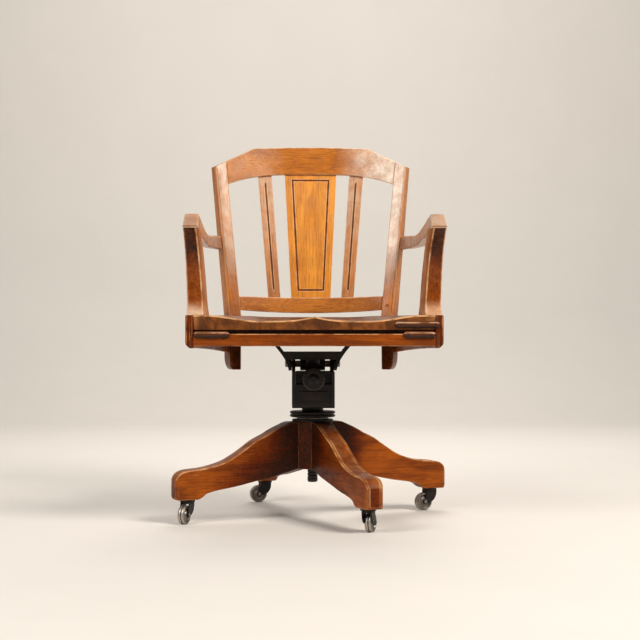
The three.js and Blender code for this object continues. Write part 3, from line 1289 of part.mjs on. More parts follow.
function armEndPoint(across, z) {
  const b = lerp(ARM_END_SET, stileDepth(z) - ARM_END_SET, across);
  return stilePoint(STILE_WIDTH / 2 + CLEAR, b, z);
}
function armRing(place, low, high, inShare, outShare) {
  const outer = ARM_HALF_OVER;
  const [innerEnd, endY] = armEndPoint(0, ARM_REAR_RISE);
  const outerEnd = armEndPoint(1, ARM_REAR_RISE)[0];
  const xLow = lerp(outer - ARM_WIDTH, innerEnd, inShare);
  const xHigh = lerp(outer, outerEnd, outShare);
  const y = lerp(-ARM_FRONT_Y, endY, place);
  return easedRing(xLow, xHigh, low, high, ARM_EASE).map(([x, z]) => [x, y, z]);
}
function armSolid(side) {
  const underside = ARM_FRONT_RISE - ARM_FRONT_THICK;
  const tipHigh = ARM_FRONT_RISE - ARM_BEVEL;
  const tipEase = ARM_TIP_EASE_SHARE * (tipHigh - underside);
  const tipRing = easedRing(ARM_HALF_OVER - ARM_WIDTH, ARM_HALF_OVER, underside, tipHigh, tipEase);
  const tip = tipRing.map(([x, z]) => [x, -ARM_FRONT_Y, z]);
  const rows = ARM_ROW_SHARES.map(([place, riseStage, thickStage, inShare, outShare]) => {
    const rise = staged(ARM_FRONT_RISE, ARM_WAIST_RISE, ARM_REAR_RISE, riseStage);
    const thick = staged(ARM_FRONT_THICK, ARM_WAIST_THICK, ARM_REAR_THICK, thickStage);
    return armRing(place, rise - thick, rise, inShare, outShare);
  });
  const endRing = easedRing(0, ARM_WIDTH, ARM_REAR_RISE - ARM_REAR_THICK, ARM_REAR_RISE, ARM_EASE);
  const end = endRing.map(([across, z]) => armEndPoint(across / ARM_WIDTH, z));
  const rings = [tip, ...smoothRings([...rows, end], ARM_STEPS)];
  return loft(rings.map((ring) => ring.map((point) => mirrored(point, side))));
}

// Arm posts: each row is [height, stage], where the stage takes the front edge from the foot through the
// waist to the arm's tip. Their sides lie along the side rails, which converge to the back.
const [railEndX, railEndY] = sideRailFace(1, 0, true);
const RAIL_SLOPE = (SEAT_HALF_FRONT - railEndX) / (railEndY + SEAT_FRONT);
const POST_ROW_SHARES = [
  [0, 0],
  [0.05, 0.42],
  [0.11, 0.75],
  [0.18, 0.94],
  [0.28, 1],
  [0.4, 1.025],
  [0.52, 1.09],
  [0.64, 1.2],
  [0.76, 1.35],
  [0.87, 1.59],
  [0.95, 1.81],
  [1, 2],
];
function postSolid(side) {
  const low = CLEAR;
  const high = ARM_FRONT_RISE - ARM_FRONT_THICK - CLEAR;
  const [footFront, waistFront] = [POST_FOOT_SET - SEAT_FRONT, POST_WAIST_SET - SEAT_FRONT];
  const rings = POST_ROW_SHARES.map(([share, stage]) => {
    const front = staged(footFront, waistFront, -ARM_FRONT_Y, stage);
    const swelling = smoothstep(stage, 0, 1) + smoothstep(stage, 1, 2);
    const depth = staged(POST_DEPTH_FOOT, POST_DEPTH_WAIST, POST_DEPTH_TOP, swelling);
    const width = lerp(POST_WIDTH_FOOT, POST_WIDTH_TOP, share);
    const outer = lerp(SEAT_HALF_FRONT - RAIL_SLOPE * POST_FOOT_SET, ARM_HALF_OVER, share);
    const z = lerp(low, high, share);
    const section = easedRing(outer - width, outer, front, front + depth, POST_EASE);
    return section.map(([x, y]) => [side * (x - RAIL_SLOPE * (y - front)), y, z]);
  });
  return loft(rings);
}

for (const [side, word] of SIDES) {
  addTo(seat, `back_stile_${word}`, stileSolid(side), OAK);
  addTo(seat, `slat_${word}`, slatSolid(side), OAK);
  addTo(seat, `side_rail_${word}`, sideRailSolid(side), OAK);
  addTo(seat, `arm_${word}`, armSolid(side), OAK);
  addTo(seat, `arm_post_${word}`, postSolid(side), OAK_DARK);
}

export default chair;
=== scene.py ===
"""Bankers swivel armchair: the finished wood and iron around its fixed frame, and the stage that shows it.

Metres, +Z up, the seat faces -Y and the floor is at zero. Heights of the seat and back are measured from the
rim of the seat board.
"""
import json
import math

import bpy
import numpy as np
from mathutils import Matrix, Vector

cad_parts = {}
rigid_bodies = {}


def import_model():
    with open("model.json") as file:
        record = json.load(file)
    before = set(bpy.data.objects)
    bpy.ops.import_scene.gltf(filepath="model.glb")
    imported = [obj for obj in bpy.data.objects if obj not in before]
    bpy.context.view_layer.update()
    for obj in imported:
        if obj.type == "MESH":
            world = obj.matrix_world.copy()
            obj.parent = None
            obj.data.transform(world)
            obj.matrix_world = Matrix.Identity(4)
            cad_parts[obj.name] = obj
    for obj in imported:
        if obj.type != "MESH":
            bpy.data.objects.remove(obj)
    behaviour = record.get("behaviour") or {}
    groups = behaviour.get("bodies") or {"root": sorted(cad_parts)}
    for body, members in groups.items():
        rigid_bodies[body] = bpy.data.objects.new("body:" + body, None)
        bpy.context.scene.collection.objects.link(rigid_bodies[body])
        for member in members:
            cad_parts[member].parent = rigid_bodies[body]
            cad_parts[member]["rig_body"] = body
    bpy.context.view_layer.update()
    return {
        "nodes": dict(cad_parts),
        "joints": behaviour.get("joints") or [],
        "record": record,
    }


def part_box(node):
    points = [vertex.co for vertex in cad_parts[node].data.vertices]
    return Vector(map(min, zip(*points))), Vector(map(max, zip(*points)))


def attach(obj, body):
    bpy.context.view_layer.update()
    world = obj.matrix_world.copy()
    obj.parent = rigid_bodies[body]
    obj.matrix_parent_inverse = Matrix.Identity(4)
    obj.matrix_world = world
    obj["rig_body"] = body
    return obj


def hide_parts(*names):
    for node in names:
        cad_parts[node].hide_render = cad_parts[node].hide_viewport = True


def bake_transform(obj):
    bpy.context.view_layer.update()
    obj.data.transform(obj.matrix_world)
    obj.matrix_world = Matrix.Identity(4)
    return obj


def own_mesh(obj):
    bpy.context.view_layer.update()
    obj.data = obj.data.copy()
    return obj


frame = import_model()

bl_info = {
    "name": "Bankers Swivel Chair",
    "version": (1, 0, 0),
    "blender": (4, 5, 0),
    "location": "View3D > Sidebar > Chair",
    "description": "Builds the finished pieces of an oak swivel armchair around its frame",
    "category": "Object",
}

SLOTS = {row["node"]: row["material_slot"] for row in frame["record"]["subparts"]}
SIDES = ((1, "right"), (-1, "left"))
LEG_NAMES = ("front", "right", "rear", "left")
RIM_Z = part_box("seat_board")[1].z
BOARD_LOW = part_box("seat_board")[0].z - RIM_Z
SEAT_FRONT_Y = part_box("seat_board")[0].y
SEAT_BACK_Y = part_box("seat_board")[1].y
HUB_LOW_Z, HUB_TOP_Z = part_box("hub_block")[0].z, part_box("hub_block")[1].z
FOOT_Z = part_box("leg_front")[0].z
SCREW_Z = (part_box("tension_screw")[0].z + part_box("tension_screw")[1].z) / 2

EDGE_STEPS = 4  # steps round each eased edge
CRISP = 0.0002  # least radius of an edge that reads as sharp
HALF_WAY = 2.05  # an eased edge takes at most its side's length divided by this
SHARP_ANGLE = math.radians(38)
FULL_TURN = 2 * math.pi
ALONG_X, ALONG_Y = [2, 0, 1], [0, 2, 1]  # orders of x, y and z that lay an upright axis along X or Y


# Properties


def length(name, text, default):
    return bpy.props.FloatProperty(name=name, description=text, default=default, unit="LENGTH", precision=4)


def angle(name, text, degrees):
    default = math.radians(degrees)
    return bpy.props.FloatProperty(name=name, description=text, default=default, unit="ROTATION")


def colour(name, text, default):
    return bpy.props.FloatVectorProperty(
        name=name, description=text, default=default, size=3, min=0, max=1, subtype="COLOR"
    )


class ChairSizes(bpy.types.PropertyGroup):
    fit: length("Fit", "Gap between pieces that touch", 0.0003)
    wood_edge: length("Wood edge", "Radius of the rounded edges of the wood", 0.003)
    leg_edge: length("Leg edge", "Radius of the rounded edges of a leg", 0.0035)
    leg_thick: length("Leg thickness", "Thickness of a leg", 0.044)
    leg_reach: length("Leg reach", "Spindle axis to the end of a leg", 0.352)
    leg_height: length("Leg height", "Underside of a foot to the top of the hub", 0.175)
    leg_chamfer: length("Leg chamfer", "Chamfer on the upright edges at a leg's end", 0.005)
    leg_line_set: length("Leg line", "Edge of a leg to its outer incised line", 0.0055)
    leg_line_pitch: length("Line pitch", "Between the two incised lines of a leg", 0.0035)
    line_half: length("Line half width", "Half the width of an incised line", 0.0006)
    line_depth: length("Line depth", "Depth of an incised line", 0.0009)
    base_yaw: angle("Base turn", "How far the base is turned from the seat", 21.9)
    hub_corner: length("Hub corner", "Width of a hub face seen between two legs", 0.035)
    back_lean: angle("Back lean", "Backward lean of the stiles", 9.5)
    stile_turn: angle("Stile turn", "How far a stile's face turns inwards", 19.6)
    stile_splay: angle("Stile splay", "Outward splay of the stiles above the seat", 5.85)
    stile_x: length("Stile place", "Middle of a stile's face at the seat", 0.192)
    stile_y: length("Stile front", "Front of a stile at the seat", 0.170)
    stile_width: length("Stile width", "Across the face of a stile", 0.032)
    stile_depth: length("Stile depth", "Depth of a stile at the seat", 0.048)
    stile_depth_top: length("Stile depth, top", "Depth of a stile at its top", 0.032)
    stile_depth_foot: length("Stile depth, foot", "Depth of a stile at its foot", 0.040)
    stile_drop: length("Stile drop", "Stile foot below the seat rim", 0.136)
    stile_round: length("Stile foot round", "Height of the rounding at a stile's foot", 0.034)
    stile_round_in: length("Stile foot inset", "How far that rounding draws in", 0.010)
    stile_line_set: length("Stile line", "Outer edge of a stile to its incised line", 0.0055)
    crest: length("Crest", "Top of the back above the seat rim", 0.439)
    crest_drop: length("Crest drop", "Crest to the shoulder's corner", 0.0045)
    shoulder_drop: length("Shoulder drop", "Crest to the stile", 0.041)
    top_rail_height: length("Top rail height", "Height of the top rail in the middle", 0.072)
    top_rail_thick: length("Top rail thickness", "Thickness of the top rail", 0.024)
    underside_drop: length("Underside drop", "Fall of the top rail's underside to its ends", 0.029)
    rail_set: length("Rail set", "Face of a rail behind the faces of the stiles", 0.003)
    lower_rail_base: length("Lower rail", "Lower back rail above the seat rim", 0.0144)
    lower_rail_height: length("Lower rail height", "Height of the lower back rail", 0.036)
    lower_rail_thick: length("Lower rail thickness", "Thickness of the lower back rail", 0.022)
    lower_rail_dip: length("Lower rail dip", "Fall of its top edge to the middle", 0.0044)
    lower_rail_base_dip: length("Lower rail sag", "Fall of its lower edge to the middle", 0.008)
    splat_half: length("Splat half, foot", "Half the width of the splat at its foot", 0.0505)
    splat_half_top: length("Splat half, top", "Half the width of the splat at its top", 0.067)
    board_thick: length("Splat thickness", "Thickness of the splat and the slats", 0.010)
    splat_border: length("Splat border", "Edge of the splat to its incised line", 0.0171)
    splat_top: length("Splat margin, top", "Top of the splat to its incised line", 0.012)
    splat_base: length("Splat margin, foot", "Foot of the splat to its incised line", 0.017)
    slat_margin: length("Slat margin", "Ends of a slat to the ends of its groove", 0.015)
    groove_width: length("Groove width", "Width of the groove of splat and slats", 0.0048)
    groove_depth: length("Groove depth", "Depth of that groove", 0.002)
    slat_x: length("Slat place, foot", "Inner edge of a slat at its foot", 0.078)
    slat_x_top: length("Slat place, top", "Inner edge of a slat at its top", 0.101)
    slat_width: length("Slat width, foot", "Width of a slat at its foot", 0.0315)
    slat_width_top: length("Slat width, top", "Width of a slat at its top", 0.0355)
    seat_half: length("Seat half", "Half the width over the side rails in front", 0.292)
    seat_hollow: length("Seat hollow", "Depth of the hollows of the seat", 0.017)
    seat_edge: length("Seat edge", "Radius of the seat's front edge", 0.004)
    seat_taper: length("Seat taper", "How far the board's sides draw in below", 0.002)
    pommel: length("Pommel", "Half the width of the ridge between the hollows", 0.034)
    side_rail_thick: length("Side rail thickness", "Thickness of a side rail", 0.018)
    side_rail_depth: length("Side rail depth", "Depth of a side rail in front", 0.075)
    side_rail_fall: length("Side rail fall", "How much deeper a side rail gets to the back", 0.018)
    side_rail_bevel: length("Side rail bevel", "Bevel on the lower outer edge", 0.009)
    side_rail_set: length("Side rail set", "Side rail inside the faces of the stile", 0.004)
    front_rail_height: length("Front rail height", "Height of the front rail", 0.037)
    front_rail_thick: length("Front rail thickness", "Thickness of the front rail", 0.024)
    gap_height: length("Shadow gap height", "Height of the groove under the board", 0.009)
    gap_depth: length("Shadow gap depth", "Depth of the groove under the board", 0.012)
    reed_proud: length("Reed depth", "How far a reed stands out", 0.007)
    arm_tip: length("Arm tip", "Spindle axis to the tip of an arm", 0.287)
    arm_half: length("Arm half", "Half the width over the arms", 0.2955)
    arm_width: length("Arm width", "Width of an arm", 0.034)
    arm_bevel: length("Arm bevel", "Height of the bevelled end of an arm", 0.028)
    arm_edge: length("Arm edge", "Radius of the rounded edges of an arm", 0.005)
    arm_end_set: length("Arm end set", "Rear end of an arm inside the side of the stile", 0.003)
    post_edge: length("Post edge", "Radius of the rounded edges of a post", 0.004)
    post_foot_set: length("Post foot", "Front edge of the seat to the foot of a post", 0.012)
    post_waist_set: length("Post waist", "Front edge of the seat to the waist of a post", 0.045)
    plug_radius: length("Plug radius", "Radius of the wooden plugs", 0.0048)


class ChairColours(bpy.types.PropertyGroup):
    oak: colour("Oak", "Stained oak of the frame", (0.460, 0.132, 0.012))
    oak_warm: colour("Warm oak", "Orange figure of the frame", (0.620, 0.205, 0.028))
    oak_dark: colour("Dark oak", "Dark grain of the frame", (0.110, 0.027, 0.005))
    splat: colour("Splat", "Orange oak of the splat", (0.680, 0.235, 0.020))
    splat_warm: colour("Splat light", "Light figure of the splat", (0.860, 0.330, 0.032))
    splat_dark: colour("Splat dark", "Dark grain of the splat", (0.330, 0.095, 0.010))
    seat: colour("Seat", "Worn brown of the seat", (0.130, 0.040, 0.009))
    seat_warm: colour("Seat light", "Light patches of the seat", (0.340, 0.110, 0.020))
    seat_dark: colour("Seat dark", "Dark grain of the seat", (0.036, 0.011, 0.004))
    base: colour("Base", "Red-brown oak of the base", (0.235, 0.048, 0.004))
    base_warm: colour("Base light", "Orange figure of the base", (0.430, 0.098, 0.006))
    base_dark: colour("Base dark", "Dark grain of the base", (0.045, 0.011, 0.003))
    reed: colour("Reeds", "Dark polished reeds", (0.125, 0.026, 0.006))
    # the film colour is a hazy old finish together with a painted sheen where light would reflect off the
    # varnish
    film: colour("Film", "Pinkish haze of the old finish", (0.650, 0.440, 0.300))
    # a painted reflection: the pale sheen at the right end of the back, where light reflects
    painted_reflection: colour("Pale film", "Bleached haze at the right of the back", (0.910, 0.820, 0.700))
    film_grey: colour("Grey film", "Dull haze on the arms", (0.460, 0.400, 0.350))
    # the worn colour is also laid on as painted highlights where edges catch the light
    worn: colour("Worn edges", "Pale wood where the finish has gone", (0.840, 0.540, 0.310))
    # the worn base colour is also laid on as painted highlights on the lips of the leg lines and the seat's
    # front edge
    worn_base: colour("Worn base", "Orange wood where the base is rubbed", (0.780, 0.400, 0.160))
    # grime also covers the deepest painted shade, where the tone passes one half
    grime: colour("Grime", "Dark handling marks and dirt", (0.022, 0.008, 0.004))
    iron: colour("Iron", "Old lacquered iron", (0.007, 0.005, 0.004))
    rust: colour("Rust", "Brown bloom on the iron", (0.026, 0.012, 0.006))
    steel: colour("Steel", "Worn steel of wheels, screws and bolts", (0.240, 0.210, 0.185))
    floor: colour("Floor", "Pale floor and backdrop", (0.760, 0.715, 0.660))


# Curves and sections


def lerp(a, b, t):
    return a + (b - a) * t


def smooth(t, low=0.0, high=1.0):
    """Rises from 0 to 1 between low and high, flat at both: 3 u^2 - 2 u^3 of the share u."""
    u = np.clip((t - low) / (high - low), 0, 1)
    return u * u * (3 - 2 * u)


def through(table, t):
    """A smooth height through rows of (place, height).

    Cubic Hermite pieces whose slopes are the harmonic mean of the steepness on both sides, and level where
    the table turns or rests, so that the curve never overshoots a row.
    """
    x, y = np.asarray(table, float).T
    steep = np.diff(y) / np.diff(x)
    before, after = steep[:-1], steep[1:]
    same = before * after > 0
    inner = np.where(same, 2 * before * after / np.where(same, before + after, 1), 0)
    slope = np.concatenate([steep[:1], inner, steep[-1:]])
    k = np.clip(np.searchsorted(x, t, side="right") - 1, 0, len(x) - 2)
    span = x[k + 1] - x[k]
    u = np.clip((t - x[k]) / span, 0, 1)
    rise = u * u * (3 - 2 * u)
    bend = span * (u * (1 - u) ** 2 * slope[k] - u * u * (1 - u) * slope[k + 1])
    return lerp(y[k], y[k + 1], rise) + bend


def staged(a, b, c, stage):
    """From a through b to c, as the stage runs from 0 through 1 to 2."""
    return np.where(stage < 1, lerp(a, b, stage), lerp(b, c, stage - 1))


def eased(corners, radii, steps=EDGE_STEPS):
    """Rounds the corners of closed outlines (..., corners, 2).

    Each corner P becomes the parabola (1-t)^2 A + 2t(1-t) P + t^2 B, where A and B lie one radius along its
    two sides, and at most half way. Returns the points (..., corners * (steps + 1), 2).
    """
    corners = np.asarray(corners, float)
    radius = np.broadcast_to(radii, corners.shape[:-1])[..., None]
    ends = []
    for way in (1, -1):
        side = np.roll(corners, way, axis=-2) - corners
        reach = np.linalg.norm(side, axis=-1, keepdims=True)
        ends.append(corners + side / reach * np.clip(radius, CRISP, reach / HALF_WAY))
    t = np.linspace(0, 1, steps + 1)[:, None]
    near, far = (end[..., None, :] for end in ends)
    curve = (1 - t) ** 2 * near + 2 * t * (1 - t) * corners[..., None, :] + t**2 * far
    return curve.reshape(*corners.shape[:-2], -1, 2)


def corner_weights(weights, steps=EDGE_STEPS):
    """Spreads a value for each corner over its rounding: the value times 4t(1-t), so the flats stay at 0."""
    t = np.linspace(0, 1, steps + 1)
    return (np.asarray(weights, float)[:, None] * 4 * t * (1 - t)).ravel()


def corner_values(values):
    """Repeats one value for each corner over its rounding, so the flats run from value to value."""
    return np.repeat(np.asarray(values, float), EDGE_STEPS + 1)


def joined(corners):
    """Outlines (..., corners, 2) from a list of corners, each a pair of numbers or arrays."""
    return np.stack([np.stack(np.broadcast_arrays(*pair), -1) for pair in corners], -2)


def rectangle(a_low, a_high, b_low, b_high):
    """Corners of rectangles, anticlockwise from the low corner."""
    return joined([(a_low, b_low), (a_high, b_low), (a_high, b_high), (a_low, b_high)])


def bearings(count):
    """Angles evenly round a full turn."""
    return np.linspace(0, FULL_TURN, count, endpoint=False)


def circled(radius, height, turn):
    """Rings of points (r cos t, r sin t, h): radius and height run down a column, the turn along a row."""
    return np.stack(np.broadcast_arrays(radius * np.cos(turn), radius * np.sin(turn), height), -1)


def end_stations(span, ease, steps, ease_steps=4):
    """Places along a span, close together in the eased ends, where they are ease * (1 - cos)."""
    near = ease * (1 - np.cos(np.linspace(0, math.pi / 2, ease_steps + 1)))
    middle = np.linspace(ease, span - ease, steps)[1:-1]
    return np.concatenate([near, middle, span - near[::-1]])


def end_inset(place, span, ease):
    """How far the section draws in near the ends: a quarter circle of the ease."""
    d = np.clip(np.minimum(place, span - place), 0, ease)
    return ease - np.sqrt(np.clip(ease**2 - (ease - d) ** 2, 0, None))


# Meshes


def loft(name, rings, wear=0.0, tone=0.0, film=0.0, around=False):
    """Makes an object of quads between rows of closed rings (rows, points, 3).

    The end rings are closed by strips of quads that join point i to point -1 - i, or the last row joins the
    first where around is set. The faces are turned outwards by the sign of the volume, the sum of
    a . (b x c). wear, tone and film are kept at each point: worn edges together with painted highlights,
    dark marks together with painted shade, and hazy finish together with painted sheen.
    """
    rows, count = rings.shape[:2]
    index = np.arange(rows * count).reshape(rows, count)
    low, high = (index, np.roll(index, -1, 0)) if around else (index[:-1], index[1:])
    quads = np.stack([low, np.roll(low, -1, 1), np.roll(high, -1, 1), high], -1).reshape(-1, 4)
    if not around:
        i = np.arange(count // 2 - 1)
        strip = np.stack([i, i + 1, count - 2 - i, count - 1 - i], -1)
        quads = np.concatenate([quads, index[0][strip][:, ::-1], index[-1][strip]])
    points = rings.reshape(-1, 3)
    a, b, c, d = (points[quads[:, k]] for k in range(4))
    if (a * (np.cross(b, c) + np.cross(c, d))).sum() < 0:
        quads = quads[:, ::-1]
    mesh = bpy.data.meshes.new(name)
    mesh.vertices.add(len(points))
    mesh.vertices.foreach_set("co", points.astype(np.float32).ravel())
    mesh.loops.add(quads.size)
    mesh.loops.foreach_set("vertex_index", quads.astype(np.int32).ravel())
    mesh.polygons.add(len(quads))
    mesh.polygons.foreach_set("loop_start", np.arange(0, quads.size, 4, dtype=np.int32))
    mesh.update(calc_edges=True)
    for key, values in (("wear", wear), ("tone", tone), ("film", film)):
        spread = np.broadcast_to(values, (rows, count)).astype(np.float32)
        mesh.attributes.new(key, "FLOAT", "POINT").data.foreach_set("value", spread.ravel())
    mesh.shade_smooth()
    mesh.set_sharp_from_angle(angle=SHARP_ANGLE)
    made = bpy.data.objects.new(name, mesh)
    bpy.context.scene.collection.objects.link(made)
    return made


def yawed(points, turn, centre=(0, 0, 0)):
    """Turns points about the upright axis and moves them to a centre."""
    c, s = math.cos(turn), math.sin(turn)
    x, y, z = points[..., 0], points[..., 1], points[..., 2]
    return np.stack([c * x - s * y, s * x + c * y, z], -1) + np.asarray(centre, float)


def stand_in(made, node, finish):
    """Gives a new piece its finish and lets it stand for a node, whose part it hides."""
    made.data.materials.append(finish)
    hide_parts(node)
    return made


def dress(made, node, finish):
    """Puts a new piece in a node's place, on the same body."""
    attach(made, frame["nodes"][node]["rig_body"])
    return stand_in(made, node, finish)


def fine(node, rings, finish, wear=0.0, tone=0.0, film=0.0, around=False):
    """Makes the piece that takes a node's place and is named after it."""
    return dress(loft(f"fine_{node}", rings, wear, tone, film, around), node, finish)


# Finishes


MIX_FACTOR, MIX_A, MIX_B, MIX_RESULT = 0, 6, 7, 2  # sockets of a Mix node that blends colours


class Nodes:
    """A material's nodes: each call adds a node and returns one of its outputs."""

    def __init__(self, name):
        self.material = bpy.data.materials.new(name)
        self.material.use_nodes = True
        self.tree = self.material.node_tree
        self.shader = self.tree.nodes["Principled BSDF"]

    def add(self, kind, inputs=None, output=0, **settings):
        node = self.tree.nodes.new("ShaderNode" + kind)
        for key, value in settings.items():
            setattr(node, key, value)
        for key, value in (inputs or {}).items():
            self.join(value, node.inputs[key])
        return node.outputs[output]

    def join(self, value, socket):
        if isinstance(value, bpy.types.NodeSocket):
            self.tree.links.new(value, socket)
        else:
            socket.default_value = value

    def spot(self):
        return self.add("TexCoord", output="Object")

    def kept(self, key):
        """What loft keeps at each point under a name."""
        return self.add("Attribute", output="Fac", attribute_name=key)

    def noise(self, vector, scale, detail=3.0, roughness=0.55, distortion=0.0):
        inputs = {"Vector": vector, "Scale": scale, "Detail": detail, "Roughness": roughness}
        return self.add("TexNoise", {**inputs, "Distortion": distortion})

    def stretch(self, vector, scale, rotation=(0, 0, 0), location=(0, 0, 0)):
        inputs = {"Vector": vector, "Scale": scale, "Rotation": rotation, "Location": location}
        return self.add("Mapping", inputs)

    def between(self, value, low, high, to_low=0.0, to_high=1.0):
        inputs = {"Value": value, "From Min": low, "From Max": high, "To Min": to_low, "To Max": to_high}
        return self.add("MapRange", inputs, interpolation_type="SMOOTHSTEP")

    def patches(self, vector, noise, span, to=(0.0, 1.0)):
        """Noise of the given scale, detail, roughness and distortion, whose span is spread over another."""
        return self.between(self.noise(vector, *noise), *span, *to)

    def math(self, operation, a, b=0.0):
        return self.add("Math", {0: a, 1: b}, operation=operation)

    def times(self, a, b):
        return self.math("MULTIPLY", a, b)

    def blend(self, share, a, b, how="MIX"):
        a, b = ((*v, 1.0) if isinstance(v, tuple) else v for v in (a, b))
        inputs = {MIX_FACTOR: share, MIX_A: a, MIX_B: b}
        return self.add("Mix", inputs, MIX_RESULT, data_type="RGBA", blend_type=how)

    def bump(self, height, strength, distance):
        return self.add("Bump", {"Height": height, "Strength": strength, "Distance": distance})

    def finish(self, **inputs):
        for key, value in inputs.items():
            self.join(value, self.shader.inputs[key.replace("_", " ").title().replace("Ior", "IOR")])
        return self.material


def tint(key):
    return tuple(getattr(bpy.context.scene.chair_colours, key))


def scaled(values, share):
    return tuple(share * v for v in values)


# noises of the wood: scale, detail, roughness and distortion, the span that counts, and what it spreads to
FIBRES = (430, 5, 0.62)
RELIEF = (55, 3, 0.5)
PORES = (900, 2, 0.5), (0.57, 0.68)
FIGURE = (26, 5, 0.55, 0.9), (0.36, 0.66)
MOTTLE = (24, 6, 0.62), (0.38, 0.66)
SPECKS = (420, 2, 0.5), (0.66, 0.76)
CLOUDS = (30, 5, 0.65), (0.32, 0.68), (0.45, 1.0)
SCRATCHES = (300, 1, 0.3), (0.735, 0.75)
SCRATCHED = (11, 3), (0.56, 0.64)
PATCHES = (70, 5, 0.65), (0.3, 0.65), (0.82, 1.12)
SPOTS = (240, 3, 0.6), (0.5, 0.62), (0.0, 0.35)
RUBBED = (34, 4, 0.6), (0.34, 0.62), (0.1, 1.0)

SEED_STEPS = (0.37, 0.73, 0.51)  # where in the noise each seed lies
FIBRE_DRAW, FIGURE_DRAW, SCRATCH_DRAW = 0.03, 0.16, 0.06  # how far each is drawn out along the grain
SCRATCH_TURN = (0.2, 0.3, 0.4)
FIBRE_SPAN = (0.42, 0.72)
FIBRE_SHARE, PORE_SHARE, SPECK_SHARE, SCRATCH_SHARE, WORN_SHARE = 0.48, 0.5, 0.5, 0.3, 0.85
MOTTLE_TINT = (0.62, 0.56, 0.52)
DARKENED_AND_SHADED = (0.42, 0.27, 0.13)  # what the tone multiplies the stain by: an old finish where it has darkened, and painted shade
FIBRE_HEIGHT, RELIEF_HEIGHT = 0.6, 0.8
GLOSS_SPREAD = (-0.05, 0.09)
PORE_ROUGH, FILM_SMOOTH, WORN_ROUGH, COAT_ROUGH = 0.12, 0.06, 0.1, 0.15
WOOD_BUMP = (0.35, 0.0004)  # strength and distance


def oak(name, along, tints, seed=0, gloss=0.36, coat=0.08, grime=0.35, sheen=0.2, haze_and_sheen="film"):
    """Stained oak whose grain runs along a direction.

    Broad figure and fine fibres are noise drawn out along the grain, pores are short dark streaks of it, and
    mottling and specks are plain noise. The tone of each point first deepens the stain and then covers it
    with grime; it carries dark marks and painted shade alike. Wear bares the edges and also paints highlights
    where edges catch the light, and film is the haze of the finish with a painted sheen.
    """
    base, warm, dark, worn = (tint(key) for key in tints)
    n = Nodes(name)
    rotation = Vector(along).rotation_difference(Vector((1, 0, 0))).to_euler()
    grain = n.stretch(n.spot(), (1, 1, 1), tuple(rotation), scaled(SEED_STEPS, seed))
    drawn = n.stretch(grain, (FIBRE_DRAW, 1, 1))
    fibre, pore = n.noise(drawn, *FIBRES), n.patches(drawn, *PORES)
    figure = n.patches(n.stretch(grain, (FIGURE_DRAW, 1, 1)), *FIGURE)
    mottle = n.patches(grain, *MOTTLE)
    ground = n.blend(figure, base, warm)
    ground = n.blend(n.times(n.between(fibre, *FIBRE_SPAN), FIBRE_SHARE), ground, dark)
    ground = n.blend(n.times(mottle, grime), ground, n.blend(1.0, ground, MOTTLE_TINT, "MULTIPLY"))
    film = n.times(n.kept("film"), n.patches(grain, *CLOUDS))
    ground = n.blend(film, ground, tint(haze_and_sheen))
    ground = n.blend(n.times(pore, PORE_SHARE), ground, scaled(dark, 0.5))
    ground = n.blend(n.times(n.patches(grain, *SPECKS), SPECK_SHARE), ground, tint("grime"))
    askew = n.stretch(grain, (SCRATCH_DRAW, 1, 1), SCRATCH_TURN)
    scratch = n.times(n.patches(askew, *SCRATCHES), n.patches(grain, *SCRATCHED))
    ground = n.blend(n.times(scratch, SCRATCH_SHARE), ground, worn)
    tone = n.times(n.kept("tone"), n.math("ADD", n.patches(grain, *PATCHES), n.patches(grain, *SPOTS)))
    twice = n.times(tone, 2)
    ground = n.blend(twice, ground, n.blend(1.0, ground, DARKENED_AND_SHADED, "MULTIPLY"))
    ground = n.blend(n.math("MAXIMUM", n.math("SUBTRACT", twice, 1), 0), ground, tint("grime"))
    pale = n.times(n.times(n.kept("wear"), n.patches(grain, *RUBBED)), WORN_SHARE)
    ground = n.blend(pale, ground, worn)
    height = n.math("SUBTRACT", n.times(fibre, FIBRE_HEIGHT), pore)
    height = n.math("ADD", height, n.times(n.noise(grain, *RELIEF), RELIEF_HEIGHT))
    rough = n.between(mottle, 0, 1, *(gloss + v for v in GLOSS_SPREAD))
    rough = n.math("ADD", rough, n.times(pore, PORE_ROUGH))
    rough = n.math("SUBTRACT", rough, n.times(film, FILM_SMOOTH))
    return n.finish(
        base_color=ground,
        roughness=n.math("ADD", rough, n.times(pale, WORN_ROUGH)),
        normal=n.bump(height, *WOOD_BUMP),
        specular_ior_level=sheen,
        coat_weight=coat,
        coat_roughness=COAT_ROUGH,
    )


# noises of the metal, in the same form
BLOOM = (38, 6, 0.65), (0.46, 0.68)
PITS = (900, 2, 0.5), (0.6, 0.74)
CAST_GRAIN = (560, 4, 0.6)

PIT_SHARE, BRIGHT_SHARE, DIRT_SHARE = 0.6, 0.6, 0.85
METAL_DIRT = (0.01, 0.008, 0.006)
STEEL_BLOOM = (0.16, 0.12, 0.09)
BLOOM_ROUGH = 0.18
METAL_BUMP = (0.3, 0.0003)


